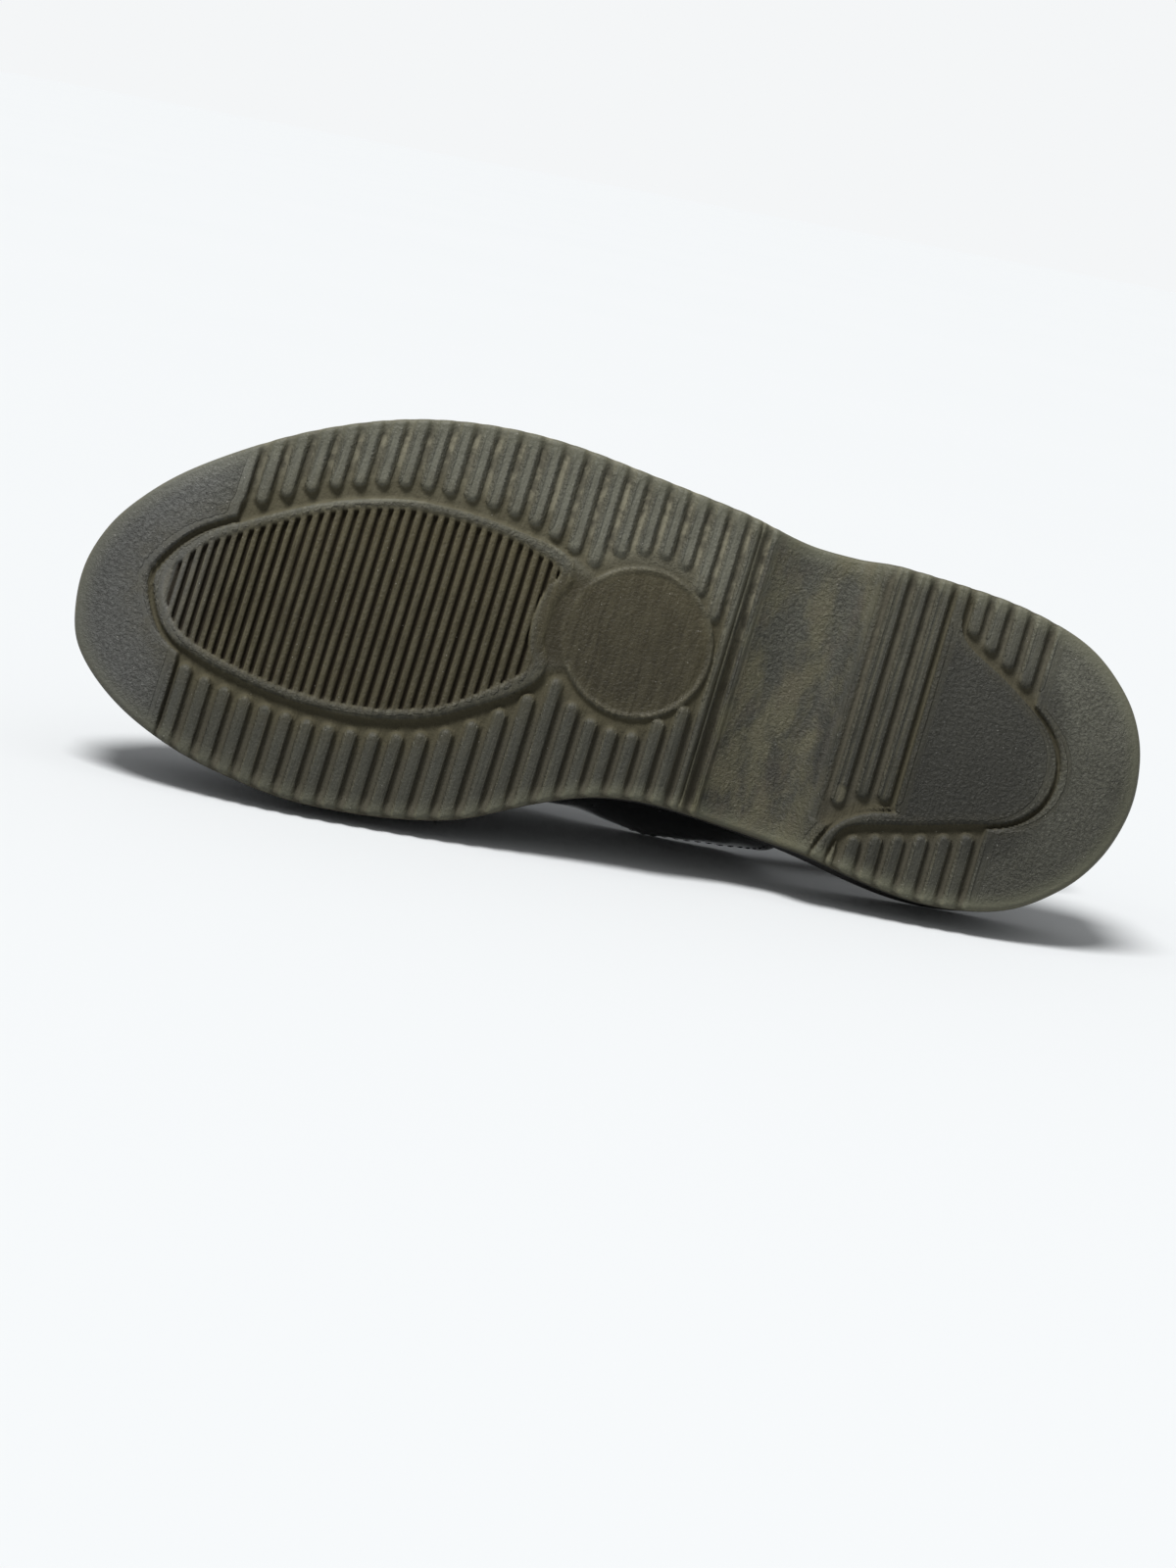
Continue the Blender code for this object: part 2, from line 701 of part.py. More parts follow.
def rib_normal(x, outer, angle):
    """Outward direction of the upper's outer face."""
    step = 0.5
    back = rib_point(x - step, outer, angle)
    if x + step > SOLE_LENGTH:
        ahead = rib_point(x - step, not outer, angle)
    else:
        ahead = rib_point(x + step, outer, angle)
    below = rib_point(x, outer, max(0.0, angle - step))
    if angle + step > 90.0:
        above = rib_point(x, not outer, 180.0 - angle - step)
    else:
        above = rib_point(x, outer, angle + step)
    normal = (ahead - back).cross(above - below).normalized()
    axis_x = rib_axis(x)
    heart = Vector((axis_x, -read_table(RIDGE, axis_x, 2), sole_top(axis_x)))
    return normal if normal.dot(rib_point(x, outer, angle) - heart) > 0.0 else -normal


def vamp_point(x, outer, angle, lift=0.0):
    """Point over the upper's outer face, by lift."""
    return rib_point(x, outer, angle) + rib_normal(x, outer, angle) * lift


def rib_grid(bm, stations, place):
    """Ribs up both sides and one at the toe, joined along the ridge; place gives a rib's points."""
    inner = [[bm.verts.new(point) for point in place(x, False)] for x in stations]
    outer = []
    for column, x in zip(inner, stations):
        outer.append([bm.verts.new(point) for point in place(x, True)[:-1]] + [column[-1]])
    tip = [bm.verts.new(point) for point in place(SOLE_LENGTH, False)]
    for side in (inner + [tip], [tip] + outer[::-1]):
        for here, there in zip(side, side[1:]):
            for k in range(len(here) - 1):
                bm.faces.new((here[k], here[k + 1], there[k + 1], there[k]))


def make_upper(parts, cutters):
    def place(x, outer):
        foot = rib_point(x, outer, 0.0)
        points = [foot - Vector((0.0, 0.0, BASE_RISE))]
        seam = SEAM_RISE * smooth(x, SEAM_START, SEAM_FULL)
        for angle in ROW_ANGLE:
            points.append(vamp_point(x, outer, angle, seam if angle in SEAM_ROWS else 0.0))
        return points

    bm = bmesh.new()
    rib_grid(bm, RIB_X, place)
    bmesh.ops.recalc_face_normals(bm, faces=bm.faces)
    top = max(bm.faces, key=lambda face: face.calc_center_median().z)
    if top.normal.z < 0.0:
        bmesh.ops.reverse_faces(bm, faces=bm.faces)
    bmesh.ops.scale(bm, vec=(MM, MM, MM), verts=bm.verts)
    mesh = bpy.data.meshes.new("upper")
    bm.to_mesh(mesh)
    bm.free()
    upper = add_part("upper", mesh, parts, (0.008, 0.008, 0.009), 0.1)
    shell = upper.modifiers.new("wall", "SOLIDIFY")
    shell.thickness = WALL * MM
    shell.offset = -1.0
    cut(upper, opening_cutter(), "opening", cutters)


def opening_cutter():
    """Everything over the topline and behind the quarters, right across the shoe."""
    edge = smooth_run(TOPLINE, 3)
    front, back = TOPLINE[-1][0], TOPLINE[0][0]
    high, low = OPENING_HEIGHTS
    outline = [(p.x, p.y) for p in edge] + [(front, high), (0.0, high), (0.0, low), (back, low)]
    bm = bmesh.new()
    skin(bm, [[(x, y, z) for x, z in outline] for y in (-OPENING_REACH, OPENING_REACH)])
    return bm


def make_saddle(parts):
    rows = [angle for angle in ROW_ANGLE if angle > 0.0]
    bm = bmesh.new()
    layers = []
    for lift in (FIT_GAP, FIT_GAP + SADDLE_THICK):
        layer = []
        for x in SADDLE_RIBS:
            inner = [vamp_point(x, False, angle, lift) for angle in rows]
            outer = [vamp_point(x, True, angle, lift) for angle in rows[:-1]]
            layer.append([bm.verts.new(point) for point in inner + outer[::-1]])
        layers.append(layer)
    under, over = layers
    last_rib, last_row = len(SADDLE_RIBS) - 1, len(under[0]) - 1
    for layer in layers:
        for here, there in zip(layer, layer[1:]):
            for k in range(last_row):
                bm.faces.new((here[k], here[k + 1], there[k + 1], there[k]))
    for i in (0, last_rib):
        for k in range(last_row):
            bm.faces.new((under[i][k], under[i][k + 1], over[i][k + 1], over[i][k]))
    for k in (0, last_row):
        for i in range(last_rib):
            bm.faces.new((under[i][k], under[i + 1][k], over[i + 1][k], over[i][k]))
    add_part("saddle_strap", finish_mesh(bm, "saddle_strap"), parts, (0.008, 0.008, 0.009), 0.1)


# ---------------------------------------------------------------- sling strap and buckle
def wall_spot(x, z, outer, offset):
    """Point beside the quarter's outer face at a given height, and the face's outward direction."""
    low, high = 0.0, STEEPEST
    for _ in range(HALVINGS):
        middle = 0.5 * (low + high)
        if rib_point(x, outer, middle).z < z:
            low = middle
        else:
            high = middle
    normal = rib_normal(x, outer, low)
    return rib_point(x, outer, low) + normal * offset, normal


def strap_height(x):
    return STRAP_GRIP_Z + STRAP_RISE * (STRAP_GRIP_X - x)


class BuckleFrame:
    """Axes at the grip point on the outer quarter's inner face: back, out and up."""

    def __init__(self):
        ahead, _ = wall_spot(STRAP_GRIP_X + 4.0, strap_height(STRAP_GRIP_X + 4.0), True, -WALL)
        behind, _ = wall_spot(STRAP_GRIP_X - 4.0, strap_height(STRAP_GRIP_X - 4.0), True, -WALL)
        self.origin, normal = wall_spot(STRAP_GRIP_X, STRAP_GRIP_Z, True, -WALL)
        self.back = (behind - ahead).normalized()
        self.up = self.back.cross(normal).normalized()
        if self.up.z < 0.0:
            self.up = -self.up
        self.out = self.up.cross(self.back).normalized()
        if self.out.dot(normal) < 0.0:
            self.out = -self.out

    def at(self, back, out, up=0.0):
        return self.origin + self.back * back + self.out * out + self.up * up


def strap_stations(grip):
    """Three points and their outward directions across the strap, from its sewn end to its tip."""
    half = 0.5 * STRAP_WIDTH
    stations = []

    def on_quarter(x, outer, offset):
        spots = [wall_spot(x, strap_height(x) + rise, outer, offset) for rise in (-half, 0.0, half)]
        stations.append(spots)

    def free(x, y, z, out):
        lean = out * -math.sin(STRAP_LEAN) + Vector((0.0, 0.0, math.cos(STRAP_LEAN)))
        face = out * math.cos(STRAP_LEAN) + Vector((0.0, 0.0, math.sin(STRAP_LEAN)))
        middle = Vector((x, y, z))
        stations.append([(middle + lean * rise, face) for rise in (-half, 0.0, half)])

    inside = -(WALL + STRAP_CLEAR + 0.5 * STRAP_THICK)
    span = STRAP_INNER_END - STRAP_GRIP_X
    for i in range(3):
        on_quarter(STRAP_INNER_END - 0.5 * span * i, False, inside)
    path = [(x, -width, z) for x, width, z in STRAP_RUN]
    path += [(x, width, z) for x, width, z in STRAP_RUN[-2:0:-1]]
    for i, (x, y, z) in enumerate(path):
        before = path[i - 1] if i > 0 else (x + 10.0, y, z)
        after = path[i + 1] if i + 1 < len(path) else (x + 10.0, y, z)
        along = Vector((after[0] - before[0], after[1] - before[1], 0.0)).normalized()
        out = Vector((-along.y, along.x, 0.0))
        free(x, y, z, out if out.dot(Vector((x - HEEL_MIDDLE, y, 0.0))) > 0.0 else -out)
    resting = STRAP_CLEAR + 0.5 * STRAP_THICK
    high = WALL + resting
    low = RAIL_AT[1] - BUCKLE_WIRE - resting
    for back in BUCKLE_STATIONS:
        out = low + (high - low) * (1.0 - smooth(back, *STRAP_BENDS_OUT))
        stations.append([(grip.at(back, out, rise), grip.out) for rise in (-half, 0.0, half)])
    span = STRAP_OUTER_END - STRAP_GRIP_X
    for i in range(5):
        on_quarter(STRAP_GRIP_X + 0.25 * span * i, True, resting)
    return stations


def make_sling_strap(parts, cutters, grip):
    stations = strap_stations(grip)
    runs = []
    for lane in range(3):
        middles = smooth_run([station[lane][0] for station in stations], 2)
        faces = smooth_run([station[lane][1] for station in stations], 2)
        runs.append([(middle, face.normalized()) for middle, face in zip(middles, faces)])
    half = 0.5 * STRAP_THICK
    rings = []
    for low, middle, high in zip(*runs):
        ring = [point + face * half for point, face in (low, middle, high)]
        ring += [point - face * half for point, face in (high, middle, low)]
        rings.append(ring)
    bm = bmesh.new()
    skin(bm, rings)
    bmesh.ops.triangulate(bm, faces=bm.faces)
    strap = add_part("sling_strap", finish_mesh(bm, "sling_strap"), parts, (0.008, 0.008, 0.009), 0.12)
    room = PRONG_WIRE + PRONG_ROOM
    cut(strap, block(grip, STRAP_HOLE, STRAP_HOLE_LIFT, (-room, room)), "prong_slot", cutters)


def block(grip, back, out, up):
    """Box along the buckle's own axes."""
    bm = bmesh.new()
    rings = []
    for b in back:
        rings.append([grip.at(b, out[0], up[0]), grip.at(b, out[1], up[0]),
                      grip.at(b, out[1], up[1]), grip.at(b, out[0], up[1])])
    skin(bm, rings)
    return bm


def make_tab(parts, cutters, grip):
    """Loop of leather round the buckle's bar, sewn inside the outer quarter."""
    bore = BUCKLE_WIRE + FIT_GAP
    radius = bore + TAB_LEATHER
    bar = Vector(BAR_AT)
    outside, inside = TAB_FACES
    start, end = (math.atan2(face - bar.y, -math.sqrt(radius ** 2 - (face - bar.y) ** 2))
                  for face in TAB_FACES)
    outline = [(TAB_FRONT, inside), (TAB_FRONT, outside)]
    for i in range(ROUND_STEPS + 1):
        angle = start + (end - start) * i / ROUND_STEPS
        outline.append(bar + Vector((math.cos(angle), math.sin(angle))) * radius)
    half = 0.5 * TAB_WIDTH
    bm = bmesh.new()
    skin(bm, [[grip.at(back, out, up) for back, out in outline] for up in (-half, half)])
    bmesh.ops.triangulate(bm, faces=bm.faces)
    tab = add_part("buckle_tab", finish_mesh(bm, "buckle_tab"), parts, (0.008, 0.008, 0.009), 0.2)
    hole = bmesh.new()
    round_bar = []
    for k in range(ROUND_STEPS):
        angle = 2.0 * math.pi * k / ROUND_STEPS
        round_bar.append(bar + Vector((math.cos(angle), math.sin(angle))) * bore)
    ends = (-half - CUT_PAST, half + CUT_PAST)
    skin(hole, [[grip.at(spot.x, spot.y, up) for spot in round_bar] for up in ends])
    cut(tab, hole, "bar_hole", cutters)
    room = PRONG_WIRE + PRONG_ROOM
    cut(tab, block(grip, TAB_GAP, TAB_GAP_LIFT, (-room, room)), "prong_gap", cutters)


def wire(name, points, radius, closed, parts):
    """Round metal wire through the given points."""
    curve = bpy.data.curves.new(name, "CURVE")
    curve.dimensions = "3D"
    curve.bevel_depth = radius * MM
    curve.bevel_resolution = 2
    curve.use_fill_caps = not closed
    run = curve.splines.new("POLY")
    run.points.add(len(points) - 1)
    for spot, point in zip(run.points, points):
        spot.co = (*(point * MM), 1.0)
    run.use_cyclic_u = closed
    return add_part(name, curve, parts, (0.62, 0.60, 0.56), 0.25, 1.0)


def make_buckle(parts, grip):
    half = 0.5 * BUCKLE_HEIGHT
    corners = ((BAR_AT, -half), (BAR_AT, half), (RAIL_AT, half), (RAIL_AT, -half))
    flat = [grip.at(back, out, up) for (back, out), up in corners]
    points = []
    for i, corner in enumerate(flat):
        to_back = (flat[i - 1] - corner).normalized() * BUCKLE_CORNER
        to_next = (flat[(i + 1) % 4] - corner).normalized() * BUCKLE_CORNER
        points += [corner + to_back, corner + 0.3 * (to_back + to_next), corner + to_next]
    wire("buckle_frame", points, BUCKLE_WIRE, True, parts)
    turn = BUCKLE_WIRE + FIT_GAP + PRONG_WIRE
    hook = []
    for degrees in PRONG_HOOK:
        angle = math.radians(degrees)
        hook.append(grip.at(BAR_AT[0] + turn * math.cos(angle), BAR_AT[1] + turn * math.sin(angle)))
    hook.append(grip.at(RAIL_AT[0] + PRONG_PAST_RAIL, RAIL_AT[1] + turn + PRONG_OVER_RAIL))
    wire("buckle_prong", hook, PRONG_WIRE, False, parts)


def make_keeper(parts):
    """Bridge over the strap's loose end, with its feet on the outer quarter."""
    half = 0.5 * STRAP_WIDTH + STRAP_CLEAR
    under = STRAP_CLEAR + STRAP_THICK + STRAP_CLEAR
    # Inner and outer edge of the band, as rise along the quarter and lift off it.
    section = (
        # rise, lift, rise, lift
        (-half, FIT_GAP, -half - KEEPER_FOOT, FIT_GAP),
        (-half, under, -half - KEEPER_FOOT, under + KEEPER_SHOULDER),
        (-0.5 * half, under, -0.5 * half, under + KEEPER_CROWN),
        (0.5 * half, under, 0.5 * half, under + KEEPER_CROWN),
        (half, under, half + KEEPER_FOOT, under + KEEPER_SHOULDER),
        (half, FIT_GAP, half + KEEPER_FOOT, FIT_GAP),
    )
    back = STRAP_GRIP_X + KEEPER_AHEAD
    front = back + KEEPER_LENGTH
    rings = []
    for rise_in, lift_in, rise_out, lift_out in section:
        rings.append([wall_spot(back, strap_height(back) + rise_in, True, lift_in)[0],
                      wall_spot(back, strap_height(back) + rise_out, True, lift_out)[0],
                      wall_spot(front, strap_height(front) + rise_out, True, lift_out)[0],
                      wall_spot(front, strap_height(front) + rise_in, True, lift_in)[0]])
    bm = bmesh.new()
    skin(bm, rings)
    bmesh.ops.triangulate(bm, faces=bm.faces)
    add_part("strap_keeper", finish_mesh(bm, "strap_keeper"), parts, (0.008, 0.008, 0.009), 0.12)


# ---------------------------------------------------------------- resting on its side
def solid_points(parts):
    """Corners of every piece, with the middle of their whole volume."""
    depsgraph = bpy.context.evaluated_depsgraph_get()
    points, moment, volume = [], Vector(), 0.0
    for part in parts.objects:
        shape = part.evaluated_get(depsgraph)
        mesh = shape.to_mesh()
        mesh.calc_loop_triangles()
        corners = [part.matrix_world @ vertex.co for vertex in mesh.vertices]
        for triangle in mesh.loop_triangles:
            a, b, c = (corners[k] for k in triangle.vertices)
            wedge = a.dot(b.cross(c)) / 6.0
            moment += wedge * (a + b + c) / 4.0
            volume += wedge
        points += corners
        shape.to_mesh_clear()
    return points, moment / volume


def rests_inside(corners, normal, middle):
    """Whether the middle of the volume stands over a face with these corners."""
    sides = []
    for here, there in zip(corners, corners[1:] + corners[:1]):
        sides.append((there - here).cross(middle - here).dot(normal) > 0.0)
    return all(sides) or not any(sides)


def lay_on_side(parts, cutters):
    """Turn the shoe onto its inner side, where sole edge and upper both touch the floor.

    The floor is the face of the whole shoe's convex hull that looks to the inner side, lies under
    the middle of the volume, and leans furthest over towards the upper.
    """
    points, middle = solid_points(parts)
    bm = bmesh.new()
    for point in points:
        bm.verts.new(point)
    hull = bmesh.ops.convex_hull(bm, input=bm.verts)
    down = None
    for face in hull["geom"]:
        if not isinstance(face, bmesh.types.BMFace):
            continue
        normal = face.normal.copy()
        if (face.verts[0].co - middle).dot(normal) < 0.0:
            normal = -normal
        corners = [vertex.co for vertex in face.verts]
        if normal.y < -0.7 and rests_inside(corners, normal, middle):
            if down is None or normal.z > down.z:
                down = normal
    bm.free()
    up = -down
    along = Vector((-1.0, 0.0, 0.0))
    along = (along - up * along.dot(up)).normalized()
    turn = Matrix((along, up.cross(along), up)).to_4x4()
    turned = [turn @ point for point in points]
    low = Vector([min(point[k] for point in turned) for k in range(3)])
    high = Vector([max(point[k] for point in turned) for k in range(3)])
    centre = Vector((0.5 * (low.x + high.x), 0.5 * (low.y + high.y), low.z))
    rest = bpy.data.objects.new("resting_shoe", None)
    bpy.context.scene.collection.objects.link(rest)
    rest.matrix_world = Matrix.Translation(-centre) @ turn
    for thing in list(parts.objects) + list(cutters.objects):
        thing.parent = rest


def main():
    for thing in list(bpy.data.objects):
        bpy.data.objects.remove(thing)
    parts = bpy.data.collections.new("slingback_loafer")
    cutters = bpy.data.collections.new("cutters")
    for collection in (parts, cutters):
        bpy.context.scene.collection.children.link(collection)
    make_outsole(parts, cutters)
    make_welt(parts)
    make_insole(parts)
    make_upper(parts, cutters)
    make_saddle(parts)
    grip = BuckleFrame()
    make_sling_strap(parts, cutters, grip)
    make_tab(parts, cutters, grip)
    make_buckle(parts, grip)
    make_keeper(parts)
    lay_on_side(parts, cutters)


main()
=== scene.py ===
# %% [markdown]
# # A left slingback loafer on its inner side
#
# The real shoe is a black patent loafer on a thick moulded rubber sole, worn a few times. It lies
# on its inner side, so the tread is what the room sees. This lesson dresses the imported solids:
# each plain solid is replaced by a finer piece that is worked out from the same tables of sizes.

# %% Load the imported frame
import json
import math

import bmesh
import bpy
import numpy as np
from mathutils import Matrix, Vector


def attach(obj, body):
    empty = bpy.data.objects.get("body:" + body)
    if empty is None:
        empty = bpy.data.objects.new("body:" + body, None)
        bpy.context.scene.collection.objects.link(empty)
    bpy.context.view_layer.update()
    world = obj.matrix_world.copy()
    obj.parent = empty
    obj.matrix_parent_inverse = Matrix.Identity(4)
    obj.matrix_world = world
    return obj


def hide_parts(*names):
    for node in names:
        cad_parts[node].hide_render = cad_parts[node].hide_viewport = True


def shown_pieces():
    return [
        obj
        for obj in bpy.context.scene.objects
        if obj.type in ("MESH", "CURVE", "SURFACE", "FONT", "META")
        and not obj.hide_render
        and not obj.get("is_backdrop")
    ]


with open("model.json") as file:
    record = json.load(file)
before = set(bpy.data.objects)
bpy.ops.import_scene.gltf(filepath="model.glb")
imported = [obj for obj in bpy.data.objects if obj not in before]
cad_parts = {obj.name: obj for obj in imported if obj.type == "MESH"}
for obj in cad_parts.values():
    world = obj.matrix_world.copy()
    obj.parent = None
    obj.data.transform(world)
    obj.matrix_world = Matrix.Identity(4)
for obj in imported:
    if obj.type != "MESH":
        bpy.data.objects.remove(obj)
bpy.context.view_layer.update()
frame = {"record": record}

# %% [markdown]
# ## The shoe's own axes
#
# A shoe is drawn standing: X runs from the heel to the toe, Y from the inner side to the outer
# side, and Z up from the tread, in millimetres. The record gives two spots on the tread and the
# direction that the tread faces, and those are enough to find the axes of the shoe as it lies.

# %% Find the axes
MM = 0.001
HEEL_SPOT = (40.0, 0.0)          # x and y of the two measured spots on the tread
BALL_SPOT = (136.5, -2.0)
mounts = {mount["name"]: mount for mount in frame["record"]["mounts"]}
heel_spot = Vector(mounts["heel_tread"]["pos_m"])
ball_spot = Vector(mounts["forefoot_tread"]["pos_m"])
shoe_up = -Vector(mounts["heel_tread"]["axis"]).normalized()
between_spots = ball_spot - heel_spot
between_spots = (between_spots - shoe_up * between_spots.dot(shoe_up)).normalized()
skew = math.atan2(HEEL_SPOT[1] - BALL_SPOT[1], BALL_SPOT[0] - HEEL_SPOT[0])
shoe_ahead = between_spots * math.cos(skew) + shoe_up.cross(between_spots) * math.sin(skew)
shoe_outer = shoe_up.cross(shoe_ahead)
shoe_origin = heel_spot - shoe_ahead * HEEL_SPOT[0] * MM
AXES = np.array((shoe_ahead, shoe_outer, shoe_up))
ORIGIN = np.array(shoe_origin)


def to_world(points):
    """Shoe millimetres to the room's metres."""
    return np.asarray(points, float) @ AXES * MM + ORIGIN


def turn_to_world(direction):
    return Vector(np.asarray(direction, float) @ AXES)


print("the tread leans back", round(math.degrees(math.asin(-shoe_up.z)), 1), "degrees")

# %% [markdown]
# ## Tables of sizes
#
# A pattern cutter keeps a shoe as a few short tables. Each row is a station, and a smooth curve
# runs through the rows. The same tables made the solids, so everything here fits over them.

# %% Tables of the sole
SOLE_LENGTH = 280.0
FIT_GAP = 0.3
SOLE_PLAN = (
    # x, reach to the inner side, reach to the outer side
    (0.0, 0.0, 0.0), (2.0, 11.5, 12.0), (5.0, 18.7, 18.5), (10.0, 26.3, 25.4),
    (20.0, 35.4, 33.4), (30.0, 40.0, 37.3), (45.0, 42.7, 39.7), (60.0, 42.4, 39.9),
    (80.0, 40.2, 39.2), (100.0, 39.6, 37.8), (120.0, 40.4, 39.5), (135.0, 43.6, 40.4),
    (150.0, 50.8, 41.2), (165.0, 59.8, 41.9), (180.0, 64.8, 41.3), (195.0, 67.8, 39.0),
    (210.0, 69.4, 34.9), (225.0, 68.6, 28.6), (240.0, 66.4, 20.3), (255.0, 61.6, 9.8),
    (265.0, 56.2, 1.3), (272.0, 50.6, -7.0), (277.0, 43.8, -15.2), (280.0, 28.3, -28.3),
)
SOLE_TOP = (
    # x, height of the top of the outsole
    (0.0, 27.5), (55.0, 27.0), (85.0, 24.6), (115.0, 19.6), (145.0, 16.6),
    (180.0, 15.8), (210.0, 16.8), (240.0, 20.6), (262.0, 25.6), (280.0, 30.6),
)
HEEL_ROLL = (10.0, 2.0)                    # the heel's back rolls up: length, rise
ARCH = (77.0, 88.0, 98.0, 122.0, 6.5)      # starts, full, leaves, ends, rise
TOE_SPRING = (195.0, 16.0)                 # starts, rise at the tip


# %% Blends and smooth curves
def smooth(value, start, end):
    """Blend from 0 at start to 1 at end."""
    share = np.clip((np.asarray(value, float) - start) / (end - start), 0.0, 1.0)
    return share * share * (3.0 - 2.0 * share)


def fade(value, start, end):
    """Blend from 1 at start to 0 at end."""
    return 1.0 - smooth(value, start, end)


def near(value, middle, full, gone):
    """1 up to a distance from the middle, 0 beyond a greater one."""
    return fade(np.abs(value - middle), full, gone)


def read_table(table, x, column=1):
    """Smooth reading of one column, held level beyond the ends."""
    rows = np.array(table, float)
    spots, values = rows[:, 0], rows[:, column]
    x = np.clip(x, spots[0], spots[-1])
    slopes = np.gradient(values, spots)
    slopes[1:-1] = (values[2:] - values[:-2]) / (spots[2:] - spots[:-2])
    i = np.clip(np.searchsorted(spots, x, side="right") - 1, 0, len(spots) - 2)
    span = spots[i + 1] - spots[i]
    u = (x - spots[i]) / span
    rise = u * u * (3.0 - 2.0 * u)
    return (values[i] * (1.0 - rise) + values[i + 1] * rise
            + (u ** 3 - 2.0 * u ** 2 + u) * span * slopes[i]
            + (u ** 3 - u ** 2) * span * slopes[i + 1])


def smooth_run(points, steps, closed=False):
    """Catmull-Rom run through the given points."""
    knots = np.array(points, float)
    count = len(knots)
    turns = count if closed else count - 1
    pick = (lambda k: k % count) if closed else (lambda k: min(max(k, 0), count - 1))
    run = []
    for i in range(turns):
        a, b, c, d = (knots[pick(k)] for k in (i - 1, i, i + 1, i + 2))
        u = (np.arange(steps) / steps)[:, None]
        run.append(0.5 * (2.0 * b + (c - a) * u + (2.0 * a - 5.0 * b + 4.0 * c - d) * u ** 2
                          + (3.0 * b - a - 3.0 * c + d) * u ** 3))
    if not closed:
        run.append(knots[-1:])
    return np.vstack(run)


# %% Height of the sole
def ground(x):
    """Height of the tread: flat under heel and ball, raised at the arch and the toe."""
    roll = HEEL_ROLL[1] * (np.maximum(0.0, HEEL_ROLL[0] - x) / HEEL_ROLL[0]) ** 2
    arch = ARCH[4] * smooth(x, *ARCH[:2]) * fade(x, *ARCH[2:4])
    spring = np.maximum(0.0, x - TOE_SPRING[0]) / (SOLE_LENGTH - TOE_SPRING[0])
    return roll + arch + TOE_SPRING[1] * spring ** 2


def sole_top(x):
    return read_table(SOLE_TOP, x)


# %% Runs of points
def lengths_along(run):
    """Length of a run up to each of its points."""
    return np.concatenate([[0.0], np.cumsum(np.linalg.norm(np.diff(run, axis=0), axis=1))])


def read_run(at, spots, run):
    """Points of a run between its spots."""
    return np.stack([np.interp(at, spots, run[:, k]) for k in range(run.shape[1])], -1)


def crowded(end, reach, count):
    """Stations that crowd toward an end, from above it or, with a negative reach, from below."""
    shares = np.linspace(0.0, 1.0, count)
    return end + reach * (shares if reach > 0.0 else shares[::-1]) ** 2


def eased_loop(loop, spacing, reach):
    """A closed line with even spacing, its small corners eased over a reach."""
    closed = np.vstack([loop, loop[:1]])
    length = lengths_along(closed)
    count = int(length[-1] / spacing)
    spots = np.linspace(0.0, length[-1], count, endpoint=False)
    even = read_run(spots, length, closed)
    away = np.minimum(np.arange(count), count - np.arange(count)) * spacing
    weight = np.exp(-0.5 * (away / reach) ** 2)
    weight = np.fft.fft(weight / weight.sum())
    return np.stack([np.fft.ifft(np.fft.fft(even[:, k]) * weight).real for k in range(2)], 1)


# %% The outline of the sole
inner_knots = [(x, -reach) for x, reach, other in SOLE_PLAN]
outer_knots = [(x, reach) for x, other, reach in SOLE_PLAN[1:-1]]
OUTLINE = eased_loop(smooth_run(inner_knots + outer_knots[::-1], 24, closed=True), 0.6, 3.6)
lowest, highest = OUTLINE[:, 0].min(), OUTLINE[:, 0].max()
OUTLINE[:, 0] = (OUTLINE[:, 0] - lowest) * SOLE_LENGTH / (highest - lowest)
OUTLINE = np.roll(OUTLINE, -int(np.argmin(OUTLINE[:, 0])), axis=0)
TOE_INDEX = int(np.argmax(OUTLINE[:, 0]))
PLAN_INNER = OUTLINE[:TOE_INDEX + 1]
PLAN_OUTER = np.vstack([OUTLINE[:1], OUTLINE[:TOE_INDEX - 1:-1]])
outline_along = np.roll(OUTLINE, -1, axis=0) - np.roll(OUTLINE, 1, axis=0)
outline_along /= np.linalg.norm(outline_along, axis=1)[:, None]
OUTLINE_INWARD = np.stack([-outline_along[:, 1], outline_along[:, 0]], axis=1)


def edge_reach(x, outer):
    """Y of the sole's edge at x."""
    side = PLAN_OUTER if outer else PLAN_INNER
    return np.interp(x, side[:, 0], side[:, 1])


print("ball width", round(float(edge_reach(195.0, True) - edge_reach(195.0, False)), 1), "mm")

# %% [markdown]
# ## The drawing of the tread
#
# The tread is moulded in one shot: smooth plates at the toe, the waist and the heel, rows of
# finger lugs that stand in a recess along both edges, an oval of fine ribs inside a round rim, and
# a bare disc. The mould maker draws all straight grooves with one ruler, slanted a little, so here
# a line is named by where it crosses the middle of the sole.

# %% Sizes of the tread
LINE_SLANT = 0.026
LUG_DEPTH = 2.3
LUG_ROW = (
    # groove, where it crosses the middle line
    (0.0, 111.7), (4.0, 133.5), (10.0, 168.2), (15.0, 197.7), (20.0, 226.4), (24.0, 249.4),
)
FINE_ROW = ((-1.0, 161.1), (0.0, 164.0), (8.0, 187.4), (16.0, 210.5), (24.0, 232.8), (33.0, 256.4))
OVAL = (
    # x, reach to the inner side, reach to the outer side
    (161.0, 17.0, 9.5), (170.0, 26.2, 12.3), (180.0, 34.0, 13.5), (192.0, 38.9, 13.3),
    (205.0, 41.5, 11.6), (220.0, 42.1, 6.4), (232.0, 41.0, 0.0), (243.0, 39.0, -7.0),
    (252.0, 35.2, -13.6), (257.6, 27.0, -22.5),
)
DISC_MIDDLE = (136.5, -2.0)
DISC_RADIUS = 19.5
HEEL_SWEEP = (
    # x, y of the ground's edge under the long ridges
    (77.8, -44.0), (76.6, -38.0), (74.6, -32.4), (71.0, -27.8), (65.5, -24.2), (59.5, -22.2),
)
